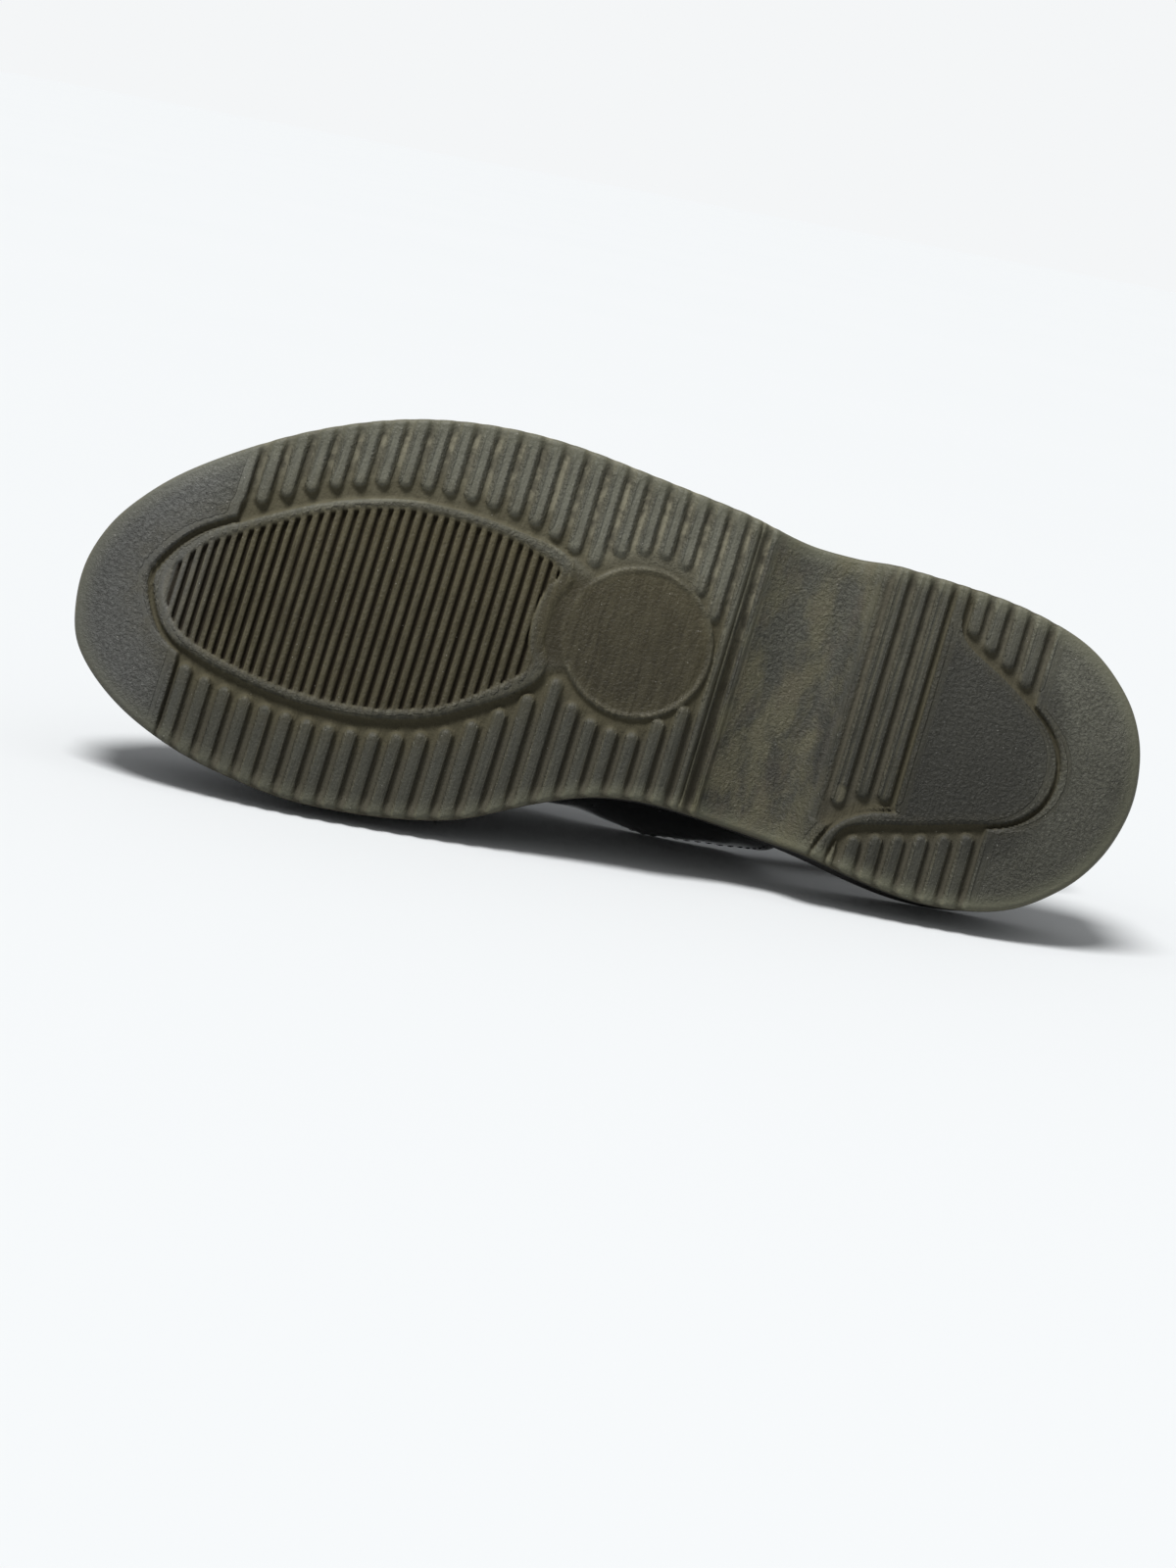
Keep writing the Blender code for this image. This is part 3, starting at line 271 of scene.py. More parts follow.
HEEL_PANEL = (
    # x, y of the groove round the bare heel panel
    (72.6, -44.0), (72.2, -36.0), (69.5, -30.5), (62.0, -27.3), (53.3, -24.6), (41.7, -20.4),
    (30.0, -16.3), (23.5, -10.0), (21.4, -2.0), (23.4, 6.2), (29.6, 12.9), (41.7, 20.0),
    (52.5, 25.0), (56.6, 29.0), (57.6, 36.0), (57.6, 44.0),
)
HEEL_LONG = (77.9, 72.1, 66.4, 60.5)       # grooves right across to the tongue
HEEL_LONG_TIPS = (-25.4, -21.7, -20.8)     # lower ends of the ridges between them
HEEL_INNER = (70.4, 64.9, 59.4, 53.9, 47.9, 42.3, 36.5)
HEEL_OUTER = (56.1, 50.7, 45.0, 39.5, 33.4)
lug_grooves = read_table(LUG_ROW, np.arange(25.0))
fine_grooves = read_table(FINE_ROW, np.arange(-1.0, 34.0))
print("lug pitch", [round(float(p), 2) for p in np.diff(lug_grooves)[::6]], "mm")

# %% [markdown]
# A relief such as this could be cut with booleans, as the solid was, but hundreds of rounded ridge
# ends are much easier as a height: one number for every spot of the sole, that says how deep the
# rubber lies under the plates there. Distances to a few outlines and blends between levels give
# every form its soft moulded edge.

# %% Distances and blends
def signed_distance(x, y, loop):
    """Distance from each spot to a closed line, negative inside it."""
    best = np.full(x.shape, 1e9)
    inside = np.zeros(x.shape, bool)
    for (ax, ay), (bx, by) in zip(loop, np.roll(loop, -1, axis=0)):
        dx, dy = bx - ax, by - ay
        t = np.clip(((x - ax) * dx + (y - ay) * dy) / max(dx * dx + dy * dy, 1e-9), 0.0, 1.0)
        best = np.minimum(best, (x - ax - t * dx) ** 2 + (y - ay - t * dy) ** 2)
        if dy != 0.0:
            inside ^= ((ay > y) != (by > y)) & (x < ax + (y - ay) * dx / dy)
    return np.where(inside, -1.0, 1.0) * np.sqrt(best)


def blend(low, high, share):
    return low + (high - low) * share


def nearest_line(u, lines):
    """Distance from the nearest of some sorted lines."""
    i = np.clip(np.searchsorted(lines, u), 1, len(lines) - 1)
    return np.minimum(np.abs(u - lines[i - 1]), np.abs(u - lines[i]))


# %% The outline of the oval and of the heel's island
oval_x = np.linspace(OVAL[0][0], OVAL[-1][0], 70)
heel_end = []
corner_in = np.array((OVAL[0][0], -OVAL[0][1])) - DISC_MIDDLE
corner_out = np.array((OVAL[0][0], OVAL[0][2])) - DISC_MIDDLE
for share in (0.2, 0.4, 0.6, 0.8):
    bearing = blend(math.atan2(*corner_out[::-1]), math.atan2(*corner_in[::-1]), share)
    reach = blend(np.linalg.norm(corner_out), np.linalg.norm(corner_in), share)
    heel_end.append(DISC_MIDDLE + reach * np.array((math.cos(bearing), math.sin(bearing))))
inner_rows = [(x, -reach) for x, reach, other in OVAL]
outer_rows = [(x, reach) for x, other, reach in OVAL]
oval_rows = inner_rows + outer_rows[::-1] + heel_end
OVAL_LOOP = eased_loop(smooth_run(oval_rows, 8, closed=True), 0.8, 1.3)
long_edge = HEEL_LONG[-1]
ISLAND_LOOP = np.vstack([
    smooth_run(HEEL_PANEL, 6),
    [(long_edge + LINE_SLANT * 44.0, 44.0), (long_edge + LINE_SLANT * HEEL_SWEEP[-1][1], -21.4)],
    smooth_run(HEEL_SWEEP, 6)[::-1],
])

# %% Finger lugs
TIP_ROUND = 1.9          # radius of a lug's inner end
LUG_TO_OVAL = 5.7        # the tips stand this far from the fine ribs
LUG_TO_DISC = 23.0
DISC_TOUCHED = 128.0     # lugs behind this line run up to the disc
DISC_TOUCH = 0.8
LUG_FLANK = (0.30, 0.92) # a lug falls away between these shares of half its pitch


def finger_lugs(u, reach, grooves, tips):
    """1 on the ridges between grooves, 0 in the recess; each ridge starts at its tip."""
    i = np.clip(np.searchsorted(grooves, u) - 1, 0, len(grooves) - 2)
    middle = 0.5 * (grooves[i] + grooves[i + 1])
    half = 0.5 * (grooves[i + 1] - grooves[i])
    short = np.maximum(0.0, tips[i] + TIP_ROUND - reach)
    away = np.hypot(u - middle, short)
    return fade(away, LUG_FLANK[0] * half, LUG_FLANK[1] * half)


def lug_tips(outer):
    """Reach of the inner end of each lug of the forefoot; the first ridge runs right across."""
    middles = 0.5 * (lug_grooves[1:] + lug_grooves[:-1])
    disc_y = DISC_MIDDLE[1] if outer else -DISC_MIDDLE[1]
    clear = np.where(middles < DISC_TOUCHED, DISC_RADIUS + DISC_TOUCH, LUG_TO_DISC)
    room = clear ** 2 - (middles - DISC_MIDDLE[0]) ** 2
    tips = np.where(room > 0.0, disc_y + np.sqrt(np.maximum(room, 0.0)), 0.0)
    for spot in oval_x:
        reach = float(read_table(OVAL, spot, 2 if outer else 1))
        room = LUG_TO_OVAL ** 2 - (middles - spot) ** 2
        tips = np.where(room > 0.0, np.maximum(tips, reach + np.sqrt(np.maximum(room, 0.0))), tips)
    tips[0] = -99.0
    return tips


LUG_TIPS = (lug_tips(False), lug_tips(True))
print("first lug tips, inner side", [round(float(tip), 1) for tip in LUG_TIPS[0][1:6]])

# %% [markdown]
# The forefoot has the most forms. Where a value below has two ends, the form blends from the one to
# the other; lengths are in millimetres, and a depth counts down from the plates.

# %% Forms of the forefoot
WAIST_EDGE = 110.5               # the waist plate ends here
WAIST_STEP = (WAIST_EDGE - 0.35, WAIST_EDGE + 0.35)
WAIST_LIP = (1.0, 0.3)           # a low lip behind that step: distance, height
FRONT_STARTS = WAIST_EDGE - 1.6
THIN_GROOVE = (113.9, 1.0)       # inside the first ridge: place, depth
MIDDLE_LINE = ((150.0, -2.0), (257.0, -25.0))    # parts inner and outer lugs: x, y
TOE_PLATE = (249.9, 245.8)       # the toe plate starts here: inner side, outer side
TOE_PLATE_STEP = 0.9
OUTER_WEAR = (0.38, 4.0, 24.0)   # depth lost to wear on the outer side: share, from y, to y
DISC_SHALLOWS = (0.35, 21.5, 27.0)   # the recess is shallower round the disc: share, radii
RIM_WIDTH = 2.7
RIM_HEEL_EXTRA = (1.3, 162.0, 176.0) # the rim is wider beside the disc: by, from x, to x
RIM_STEP = (-0.5, 0.4)
RIM_CROWN = (0.18, 0.2, 0.45)    # level along its middle, fall to the sides, lowest level
OUTLINE_GROOVE = (0.95, 1.9)     # outside the rim, on the toe plate: distance, depth
OUTLINE_FROM = 200.0
BRIDGE_ANGLE = (33.0, 43.0)      # flat ground between disc and oval: bearing, radii, level
BRIDGE_RADII = (27.0, 30.0)
BRIDGE_STARTS = (18.0, 19.0)
BRIDGE_LEVEL = 0.85
DISC_LEVEL = 0.75
DISC_STEP = (DISC_RADIUS + 0.1, DISC_RADIUS + 0.9)
DISC_LINE = (0.3, 0.45)          # raised line inside the disc's edge: distance, height
FINE_LEVEL = 0.32
FINE_DEPTH = 1.7
FINE_FLANK = (0.36, 0.84)
LINE_FLANK = (0.25, 0.75)


# %% Level of the forefoot
def forefoot_level(u, x, y):
    """Depth under the plates, from the waist line to the toe."""
    spread = np.hypot(x - DISC_MIDDLE[0], y - DISC_MIDDLE[1])
    bearing = np.degrees(np.abs(np.arctan2(y - DISC_MIDDLE[1], x - DISC_MIDDLE[0])))
    outer = y > np.where(x < MIDDLE_LINE[0][0], DISC_MIDDLE[1], read_table(MIDDLE_LINE, x))
    ridge = np.where(outer, finger_lugs(u, y, lug_grooves, LUG_TIPS[1]),
                     finger_lugs(u, -y, lug_grooves, LUG_TIPS[0]))
    recess = LUG_DEPTH * (1.0 - DISC_SHALLOWS[0] * fade(spread, *DISC_SHALLOWS[1:]))
    recess = recess * (1.0 - OUTER_WEAR[0] * smooth(y, *OUTER_WEAR[1:]))
    level = np.maximum(recess * (1.0 - ridge), THIN_GROOVE[1] * near(u, THIN_GROOVE[0], 0.2, 0.6))
    plate_start = np.where(outer, TOE_PLATE[1], TOE_PLATE[0])
    in_field = smooth(u, *WAIST_STEP) * fade(u, plate_start - TOE_PLATE_STEP, plate_start)
    from_oval = signed_distance(x, y, OVAL_LOOP)
    rim = RIM_WIDTH + RIM_HEEL_EXTRA[0] * fade(x, *RIM_HEEL_EXTRA[1:])
    outline = OUTLINE_GROOVE[1] * near(from_oval - rim, OUTLINE_GROOVE[0], 0.45, 1.15)
    level = blend(np.where(u > OUTLINE_FROM, outline, 0.0), level, in_field)
    lip = WAIST_LIP[1] * near(u, WAIST_EDGE - WAIST_LIP[0], *LINE_FLANK)
    level = level - lip * (u < WAIST_EDGE + 0.5)
    # the flat ground between the disc and the oval, then the disc with its raised line
    bridge = fade(bearing, *BRIDGE_ANGLE) * fade(spread, *BRIDGE_RADII)
    level = blend(level, BRIDGE_LEVEL, bridge * smooth(spread, *BRIDGE_STARTS))
    line = DISC_LINE[1] * near(spread, DISC_RADIUS - DISC_LINE[0], *LINE_FLANK) * (1.0 - 0.8 * bridge)
    level = blend(level, DISC_LEVEL - line, fade(spread, *DISC_STEP))
    # the rim and the fine ribs inside it
    crown = RIM_CROWN[0] + RIM_CROWN[1] * ((from_oval - 0.5 * rim) / (0.5 * rim)) ** 2
    level = blend(level, np.clip(crown, 0.0, RIM_CROWN[2]), fade(from_oval - rim, *RIM_STEP))
    groove = fade(nearest_line(u, fine_grooves), *FINE_FLANK)
    return blend(level, FINE_LEVEL + FINE_DEPTH * groove, smooth(-from_oval, -0.15, 0.45))


# %% Forms of the heel and the waist
HEEL_DEPTH = 1.8
HEEL_SIDES = (
    # side, grooves, gap from panel to lugs, field starts over, field ends
    (-1.0, HEEL_INNER, 2.0, (35.0, 35.9), 72.0),
    (1.0, HEEL_OUTER, 2.2, (31.9, 32.8), 58.0),
)
PANEL_GROOVE = 1.7
LONG_LINE = 0.35                 # fine groove along the middle of each long ridge
LONG_SHOULDER = (76.4, 81.2)     # the waist plate slopes down to the first long ridge
LONG_FADE = (-35.0, -28.5)       # the ground round the long ridges rises toward the inner edge
WAIST_DROP = 0.45                # the waist plate lies this much under the others
WAIST_STARTS = (76.5, 79.5)
WAIST_ENDS = (WAIST_EDGE - 2.4, WAIST_EDGE - 1.6)


# %% Level of the heel and the waist
def heel_level(u, x, y):
    """Depth under the plates, from the back of the heel to the waist."""
    from_island = signed_distance(x, y, ISLAND_LOOP)
    panel_run = smooth_run(HEEL_PANEL, 6)
    back = int(np.argmin(panel_run[:, 0]))
    level = np.zeros(len(u))
    panel_sides = (panel_run[:back][::-1], panel_run[back:])
    for (side, grooves, gap, starts, ends), run in zip(HEEL_SIDES, panel_sides):
        reach, rows = side * y, np.array(grooves[::-1])
        panel_edge = np.interp(u, run[:, 0], side * run[:, 1])
        tips = np.interp(0.5 * (rows[1:] + rows[:-1]), run[:, 0], side * run[:, 1]) + gap
        field = (smooth(u, *starts) * (reach > 0.0) * (u < ends)
                 * (1.0 - finger_lugs(u, reach, rows, tips)))
        level = np.maximum(level, field * (reach > panel_edge - 1.5))
    level = HEEL_DEPTH * level * smooth(from_island, -0.5, 0.3)
    level = np.maximum(level, PANEL_GROOVE * near(from_island, 0.0, 0.30, 0.85))
    # long ridges in front of the panel
    rows = np.array(HEEL_LONG[::-1])
    ridges = finger_lugs(u, y, rows, np.array(HEEL_LONG_TIPS[::-1]))
    line = LONG_LINE * fade(nearest_line(u, 0.5 * (rows[1:] + rows[:-1]) + 0.2), 0.1, 0.5)
    sweep = smooth_run(HEEL_SWEEP, 6)[::-1]
    above = smooth(y - np.interp(u, sweep[:, 0], sweep[:, 1]), 0.6, 1.3)
    in_long = ((u > rows[0] - 1.0) * above * smooth(from_island, -0.6, 0.2)
               * fade(u, *LONG_SHOULDER) * smooth(y, *LONG_FADE))
    level = np.maximum(level, (HEEL_DEPTH * (1.0 - ridges) + line * ridges) * in_long)
    waist = smooth(u, *WAIST_STARTS) * fade(u, *WAIST_ENDS)
    beside_tongue = smooth(from_island, 0.2, 0.9) * (y < -20.0) * smooth(u, 69.0, 72.0)
    return np.maximum(level, WAIST_DROP * np.maximum(waist, beside_tongue))


# %% Level of the whole tread
SPLIT = 93.0             # the two sheets of tread meet on the top of the arch
EDGE_ROUND = 1.5
EDGE_FADE = (0.45, 0.5, 5.0)     # grooves get shallower towards the edge: share lost, from, to


def tread_level(points, edge):
    """Depth under the plates at each plan point, with the edge rolled over."""
    x, y = points[:, 0], points[:, 1]
    u = x - LINE_SLANT * y
    level = np.zeros(len(x))
    front = u > FRONT_STARTS
    level[front] = forefoot_level(u[front], x[front], y[front])
    level[~front] = heel_level(u[~front], x[~front], y[~front])
    level *= 1.0 - EDGE_FADE[0] * fade(edge, *EDGE_FADE[1:])
    short = np.clip(EDGE_ROUND - edge, 0.0, EDGE_ROUND)
    roll = EDGE_ROUND - np.sqrt(EDGE_ROUND ** 2 - short ** 2)
    return level + roll * (1.0 - 0.25 * np.clip(level, 0.0, LUG_DEPTH))


# %% Where dirt gathers
def dirt_shares(points):
    """Shares of brown dust beside the raised forms, and of the dark stain of oval and disc."""
    x, y = points[:, 0], points[:, 1]
    from_oval = signed_distance(x, y, OVAL_LOOP)
    from_island = np.abs(signed_distance(x, y, ISLAND_LOOP))
    spread = np.hypot(x - DISC_MIDDLE[0], y - DISC_MIDDLE[1])
    round_oval = smooth(from_oval, 0.5, 3.0) * fade(from_oval, 5.5, 15.0)
    round_disc = near(spread, DISC_RADIUS + 1.0, 1.0, 7.0) * (from_oval > 0.0)
    round_island = 0.7 * fade(from_island, 0.8, 4.5)
    dusty = np.maximum.reduce((round_oval, round_disc, round_island))
    on_bridge = fade(spread, 25.0, 30.0) * near(y, DISC_MIDDLE[1], 9.0, 16.0) * (x > 140.0)
    stained = np.maximum.reduce((smooth(-from_oval, -2.0, 0.5), fade(spread, 17.0, 22.0), on_bridge))
    return dusty * (1.0 - 0.8 * on_bridge), stained


# %% [markdown]
# ## Pieces from tables of points
#
# Every piece is written as a grid of points in the shoe's own millimetres and then skinned with
# quads. Each spot keeps its place in the shoe as an attribute, so that a finish can be laid along
# the shoe whatever way it is turned.

# %% Faces of a grid
def quads(rows, columns, closed=False):
    """Corners of the quads of a grid; closed joins the last column to the first."""
    spans = columns if closed else columns - 1
    r, c = np.meshgrid(np.arange(rows - 1), np.arange(spans), indexing="ij")
    n = (c + 1) % columns
    corners = (r * columns + c, r * columns + n, (r + 1) * columns + n, (r + 1) * columns + c)
    return np.stack(corners, -1).reshape(-1, 4).tolist()


def swept_faces(rows, columns, joined=False):
    """Quads of a closed section swept over rows; its ends are capped, or joined to a ring."""
    first = np.arange(columns)
    last = first + (rows - 1) * columns
    if joined:
        ends = np.stack([last, np.roll(last, -1), np.roll(first, -1), first], 1)
    else:
        ends = np.stack([first, last])
    return quads(rows, columns, closed=True) + ends.tolist()


# %% Make a piece
def skinned(name, points, faces, merge=2e-6):
    """A mesh from points of the room; spots closer than the merge distance become one."""
    mesh = bpy.data.meshes.new(name)
    mesh.from_pydata(points.tolist(), [], faces)
    mesh.update()
    bm = bmesh.new()
    bm.from_mesh(mesh)
    bmesh.ops.remove_doubles(bm, verts=bm.verts, dist=merge)
    bmesh.ops.recalc_face_normals(bm, faces=bm.faces)
    bm.to_mesh(mesh)
    bm.free()
    return mesh


def add_object(name, data):
    thing = bpy.data.objects.new(name, data)
    bpy.context.scene.collection.objects.link(thing)
    return thing


def new_piece(name, points, faces, stands_for=()):
    """A piece of the shoe from millimetre points, riding on the shoe."""
    piece = add_object(name, skinned(name, to_world(points), faces))
    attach(piece, "root")
    for node in stands_for:
        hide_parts(node)
    return piece


def ease_edges(piece, width, segments, corner):
    """Round the edges that are steeper than a corner."""
    eased = piece.modifiers.new("eased_edges", "BEVEL")
    eased.width = width * MM
    eased.segments = segments
    eased.limit_method = "ANGLE"
    eased.angle_limit = math.radians(corner)


# %% Settle a piece
SHARP_ANGLE = 82.0       # steeper corners than this stay crisp


def settle(piece):
    """Apply a piece's modifiers and note every spot's place in the shoe."""
    depsgraph = bpy.context.evaluated_depsgraph_get()
    shaped = bpy.data.meshes.new_from_object(piece.evaluated_get(depsgraph))
    piece.modifiers.clear()
    piece.data = shaped
    shaped.shade_smooth()
    shaped.set_sharp_from_angle(angle=math.radians(SHARP_ANGLE))
    places = np.zeros(len(shaped.vertices) * 3)
    shaped.vertices.foreach_get("co", places)
    places = (places.reshape(-1, 3) - ORIGIN) @ AXES.T / MM
    note = shaped.attributes.new("shoe_place", "FLOAT_VECTOR", "POINT")
    note.data.foreach_set("vector", places.astype(np.float32).ravel())
    shaped.calc_loop_triangles()
    print(piece.name, len(shaped.loop_triangles), "triangles")
    return places


def note_value(piece, name, values):
    note = piece.data.attributes.new(name, "FLOAT", "POINT")
    note.data.foreach_set("value", np.asarray(values, np.float32))


# %% [markdown]
# ## Outsole
#
# The outsole is one rubber moulding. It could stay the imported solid, but that has plain square
# grooves. Here the sole is laid out as a sheet of slanted columns, fine enough for the ribs, every
# spot is lifted by its level, and the side wall is drawn up from the sheet's own edge to the welt.
# It is made in two halves that meet on the arch, to keep each mesh light.

# %% Columns and rows of the tread sheet
FINE_STEP = 0.42         # from column to column over the ribs
COARSE_STEP = 1.2        # over the waist
PLATE_STEP = 0.7         # over the toe plate
HEEL_TIP = (0.06, 13.94, 34)     # where the columns crowd, their reach and their count
TOE_TIP = (SOLE_LENGTH - 0.05, -17.95, 46)
HEEL_RIBS = (14.6, 81.0)
REAR_WAIST = (81.6, SPLIT)
FRONT_WAIST = (94.2, 108.6)
FIRST_LUG = 108.8
WALL_LEVELS = (
    # share of the height, lift, inset
    (0.0, 4.2, 0.0), (0.30, 1.2, 0.15), (0.44, 0.0, 0.40), (0.475, 0.0, 0.55), (0.50, 0.0, 1.25),
    (0.53, 0.0, 1.75), (0.56, 0.0, 1.85), (0.59, 0.0, 1.70), (0.615, 0.0, 1.15), (0.64, 0.0, 0.75),
    (0.72, 0.0, 1.05), (0.75, 0.0, 1.20), (0.775, 0.0, 1.90), (0.80, 0.0, 2.40), (0.83, 0.0, 2.45),
    (0.855, 0.0, 2.20), (0.88, 0.0, 1.55), (0.90, 0.0, 1.40), (0.98, 0.0, 1.60), (1.0, 0.0, 1.9),
)


def slant_at(u):
    """The columns follow the ruler, and stand straight at the very tips."""
    return LINE_SLANT * smooth(u, 4.0, 20.0) * fade(u, 262.0, 274.0)


def tread_columns():
    """Stations of the rear and the front half: fine over the ribs, coarse on the waist."""
    fine = fine_grooves
    aligned = np.concatenate([np.linspace(a, b, 7, endpoint=False) for a, b in zip(fine, fine[1:])])
    heel, toe = crowded(*HEEL_TIP), crowded(*TOE_TIP)
    rear = np.concatenate([heel, np.arange(*HEEL_RIBS, FINE_STEP),
                           np.arange(*REAR_WAIST, COARSE_STEP), [SPLIT]])
    front = np.concatenate([[SPLIT], np.arange(*FRONT_WAIST, COARSE_STEP),
                            np.arange(FIRST_LUG, fine[0] - 0.2, FINE_STEP),
                            aligned, np.arange(fine[-1], toe[0] - 0.3, PLATE_STEP), toe])
    return rear, front


def row_shares(count, crowd):
    """Shares from the inner to the outer edge, closer together at both."""
    t = np.linspace(0.0, 1.0, count)
    return t - crowd * np.sin(2.0 * math.pi * t) / (2.0 * math.pi)


def tread_sheet(stations, rows):
    """Plan points of a sheet: rows across, columns along."""
    slant = slant_at(stations)
    ends = []
    for outer in (False, True):
        y = edge_reach(stations, outer)
        for _ in range(12):
            y = edge_reach(stations + slant * y, outer)
        ends.append(np.stack([stations + slant * y, y], axis=1))
    return blend(ends[0], ends[1], row_shares(rows, crowd=0.45)[:, None, None])


# %% Draw a wall up from the edge of a sheet
def edge_normals(run):
    along = np.gradient(run, axis=0)
    along /= np.linalg.norm(along, axis=1)[:, None]
    return np.stack([-along[:, 1], along[:, 0]], axis=1)


def slab(sheet, heights, levels, first_in, last_in):
    """Closed slab between a sheet of plan points, with its heights, and the last of some levels.

    Each level has an inset and a way to read its height from x. first_in and last_in say how the
    two end columns of the sheet move with an inset.
    """
    rows, count = sheet.shape[:2]
    top = np.column_stack([sheet.reshape(-1, 2), heights])
    grid = np.arange(rows * count).reshape(rows, count)
    ring = np.concatenate([grid[0], grid[1:-1, -1], grid[-1][::-1], grid[1:-1, 0][::-1]])
    last_end, first_end = (np.broadcast_to((step, 0.0), (rows - 2, 2)) for step in (last_in, first_in))
    inward = np.concatenate([edge_normals(sheet[0]), last_end,
                             edge_normals(sheet[-1][::-1]), first_end])
    far = rows - 2
    last_run = np.arange(count - 1, count + far + 1)
    first_run = np.append(np.arange(2 * count + far - 1, 2 * (count + far)), 0)
    for step, run in ((last_in, last_run), (first_in, first_run)):
        if step == 0.0:
            y = top[ring[run], 1]
            steps = np.interp(np.abs(y - y[0]), (0.0, np.abs(y[-1] - y[0])), inward[run[[0, -1]], 1])
            inward[run] = np.stack([0.0 * y, steps], 1)
    points, faces = [top], quads(rows, count)
    base = top[ring, :2]
    previous, start = ring, len(top)
    for inset, height in levels:
        points.append(np.column_stack([base + inward * inset, height(base[:, 0])]))
        current = np.arange(start, start + len(ring))
        faces += np.stack([previous, np.roll(previous, -1), np.roll(current, -1), current], 1).tolist()
        previous, start = current, start + len(ring)
    low, high = previous[:count], previous[count + far:2 * count + far][::-1]
    faces += np.stack([low[:-1], low[1:], high[1:], high[:-1]], 1).tolist()
    faces.append(previous[count - 1:count + far + 1].tolist())
    faces.append(np.append(previous[2 * count + far - 1:], previous[0]).tolist())
    return np.vstack(points), faces


# %% The two halves of the outsole
HALF_PITCH = 2.9         # half the distance from lug to lug
WALL_TONE = 0.7          # the side wall is as dark as the tread this far from its edge, in cm
TREAD_REACH = 4.0        # what is higher over the ground is side wall
SHOULDER = (0.5, 0.3)    # level of the lugs' shoulders, which get a painted highlight, and its spread
RIBBED_FROM = 0.6


def make_outsole_half(name, stations, rows, tip_last):
    sheet = tread_sheet(stations, rows)
    flat = sheet.reshape(-1, 2)
    edge = np.maximum(-signed_distance(*flat.T, OUTLINE), 0.0)
    heights = ground(flat[:, 0]) + tread_level(flat, edge)
    levels = [(inset, lambda x, share=share, lift=lift: blend(ground(x), sole_top(x), share) + lift)
              for share, lift, inset in WALL_LEVELS]
    points, faces = slab(sheet, heights, levels, 0.0 if tip_last else 1.0, -1.0 if tip_last else 0.0)
    half = new_piece(name, points, faces, ("outsole",))
    places = settle(half)
    x, y, z = places.T
    at_split = np.abs(x - SPLIT) < 0.01
    for face in half.data.polygons:
        if at_split[list(face.vertices)].all():
            face.use_smooth = False
    edge = np.maximum(-signed_distance(x, y, OUTLINE), 0.0)
    on_tread = z < ground(x) + TREAD_REACH
    level = np.where(on_tread, tread_level(places[:, :2], edge), 0.0)
    beside = [tread_level(places[:, :2] + (shift, 0.0), edge) for shift in (-HALF_PITCH, HALF_PITCH)]
    ribbed = np.clip(np.maximum(level, np.maximum(*beside)) - RIBBED_FROM, 0.0, 1.0)
    dusty, stained = dirt_shares(places[:, :2])
    # The lugs' shoulders, where a painted highlight goes.
    lit_shoulder = np.exp(-((level - SHOULDER[0]) / SHOULDER[1]) ** 2) * ((x < 78.0) | (x > 112.0))
    shares = {"dusty": dusty, "stained": stained, "lit_shoulder": lit_shoulder, "ribbed": ribbed}
    for label, values in shares.items():
        note_value(half, label, values * on_tread)
    note_value(half, "depth", np.clip(level / LUG_DEPTH, 0.0, 1.0))
    note_value(half, "from_edge", np.where(on_tread, edge / 10.0, WALL_TONE))
    return half


rear_stations, front_stations = tread_columns()
outsole_rear = make_outsole_half("outsole_rear", rear_stations, rows=176, tip_last=False)
outsole_front = make_outsole_half("outsole_front", front_stations, rows=174, tip_last=True)

# %% [markdown]
# ## Welt and insole
#
# The welt is the narrow strip that shows all round between upper and sole; the insole is the board
# that the foot stands on. Both follow the sole's outline at a set distance, so both come from the
# same outline: the welt as a ring with a small rounded section, the insole as a slab.

# %% Welt
FEATHER_INSET = 7.4
WALL = 1.8
WELT_THICK = 3.0
WELT_SECTION = (
    # inset, height over the sole
    (0.9, 0.0), (0.65, 0.3), (0.6, 0.9), (0.6, 2.1), (0.75, 2.6), (1.2, 2.95), (2.0, 3.0), (2.9, 3.0),
    (3.2, 2.75), (3.8, 2.65), (4.4, 2.75), (4.7, 3.0), (5.8, 3.0), (7.1, 3.0), (7.1, 1.5), (7.1, 0.0),
    (4.0, 0.0),
)
welt_rows = np.array(WELT_SECTION)
ring_points = OUTLINE[None, :, :] + OUTLINE_INWARD[None] * welt_rows[:, 0, None, None]
ring_heights = sole_top(ring_points[..., 0]) + FIT_GAP + welt_rows[:, 1, None]
points = np.concatenate([ring_points, ring_heights[..., None]], axis=2).reshape(-1, 3)
faces = swept_faces(len(welt_rows), len(OUTLINE), joined=True)
welt = new_piece("welt_strip", points, faces, ("welt",))
settle(welt)

# %% Insole
INSOLE_THICK = 3.6
INSOLE_NARROWS = (68.0, 77.0)    # in front of this the wall of the upper stands beside it
INSOLE_EDGE = (0.9, 1.6)         # fall and width of its rounded edge
INSOLE_DISH = (0.35, 14.0, 2.0)  # it rises toward the edge: by, from, to
INSOLE_LEVELS = ((0.0, 2.2), (0.0, 1.0), (0.2, 0.0))     # inset, height over the sole
insole_x = np.concatenate([crowded(0.03, 15.0, 22), np.arange(16.5, 262.0, 1.7),
                           crowded(SOLE_LENGTH - 0.03, -17.0, 30)])
NORMALS_INNER = OUTLINE_INWARD[:TOE_INDEX + 1]
NORMALS_OUTER = np.vstack([OUTLINE_INWARD[:1], OUTLINE_INWARD[:TOE_INDEX - 1:-1]])


def plan_side(x, outer):
    """Points of the sole's outline at x, and the inward direction there."""
    side = PLAN_OUTER if outer else PLAN_INNER
    inward = NORMALS_OUTER if outer else NORMALS_INNER
    point = read_run(x, side[:, 0], side)
    point[..., 0] = x
    across = read_run(x, side[:, 0], inward)
    return point, across / np.linalg.norm(across, axis=-1, keepdims=True)


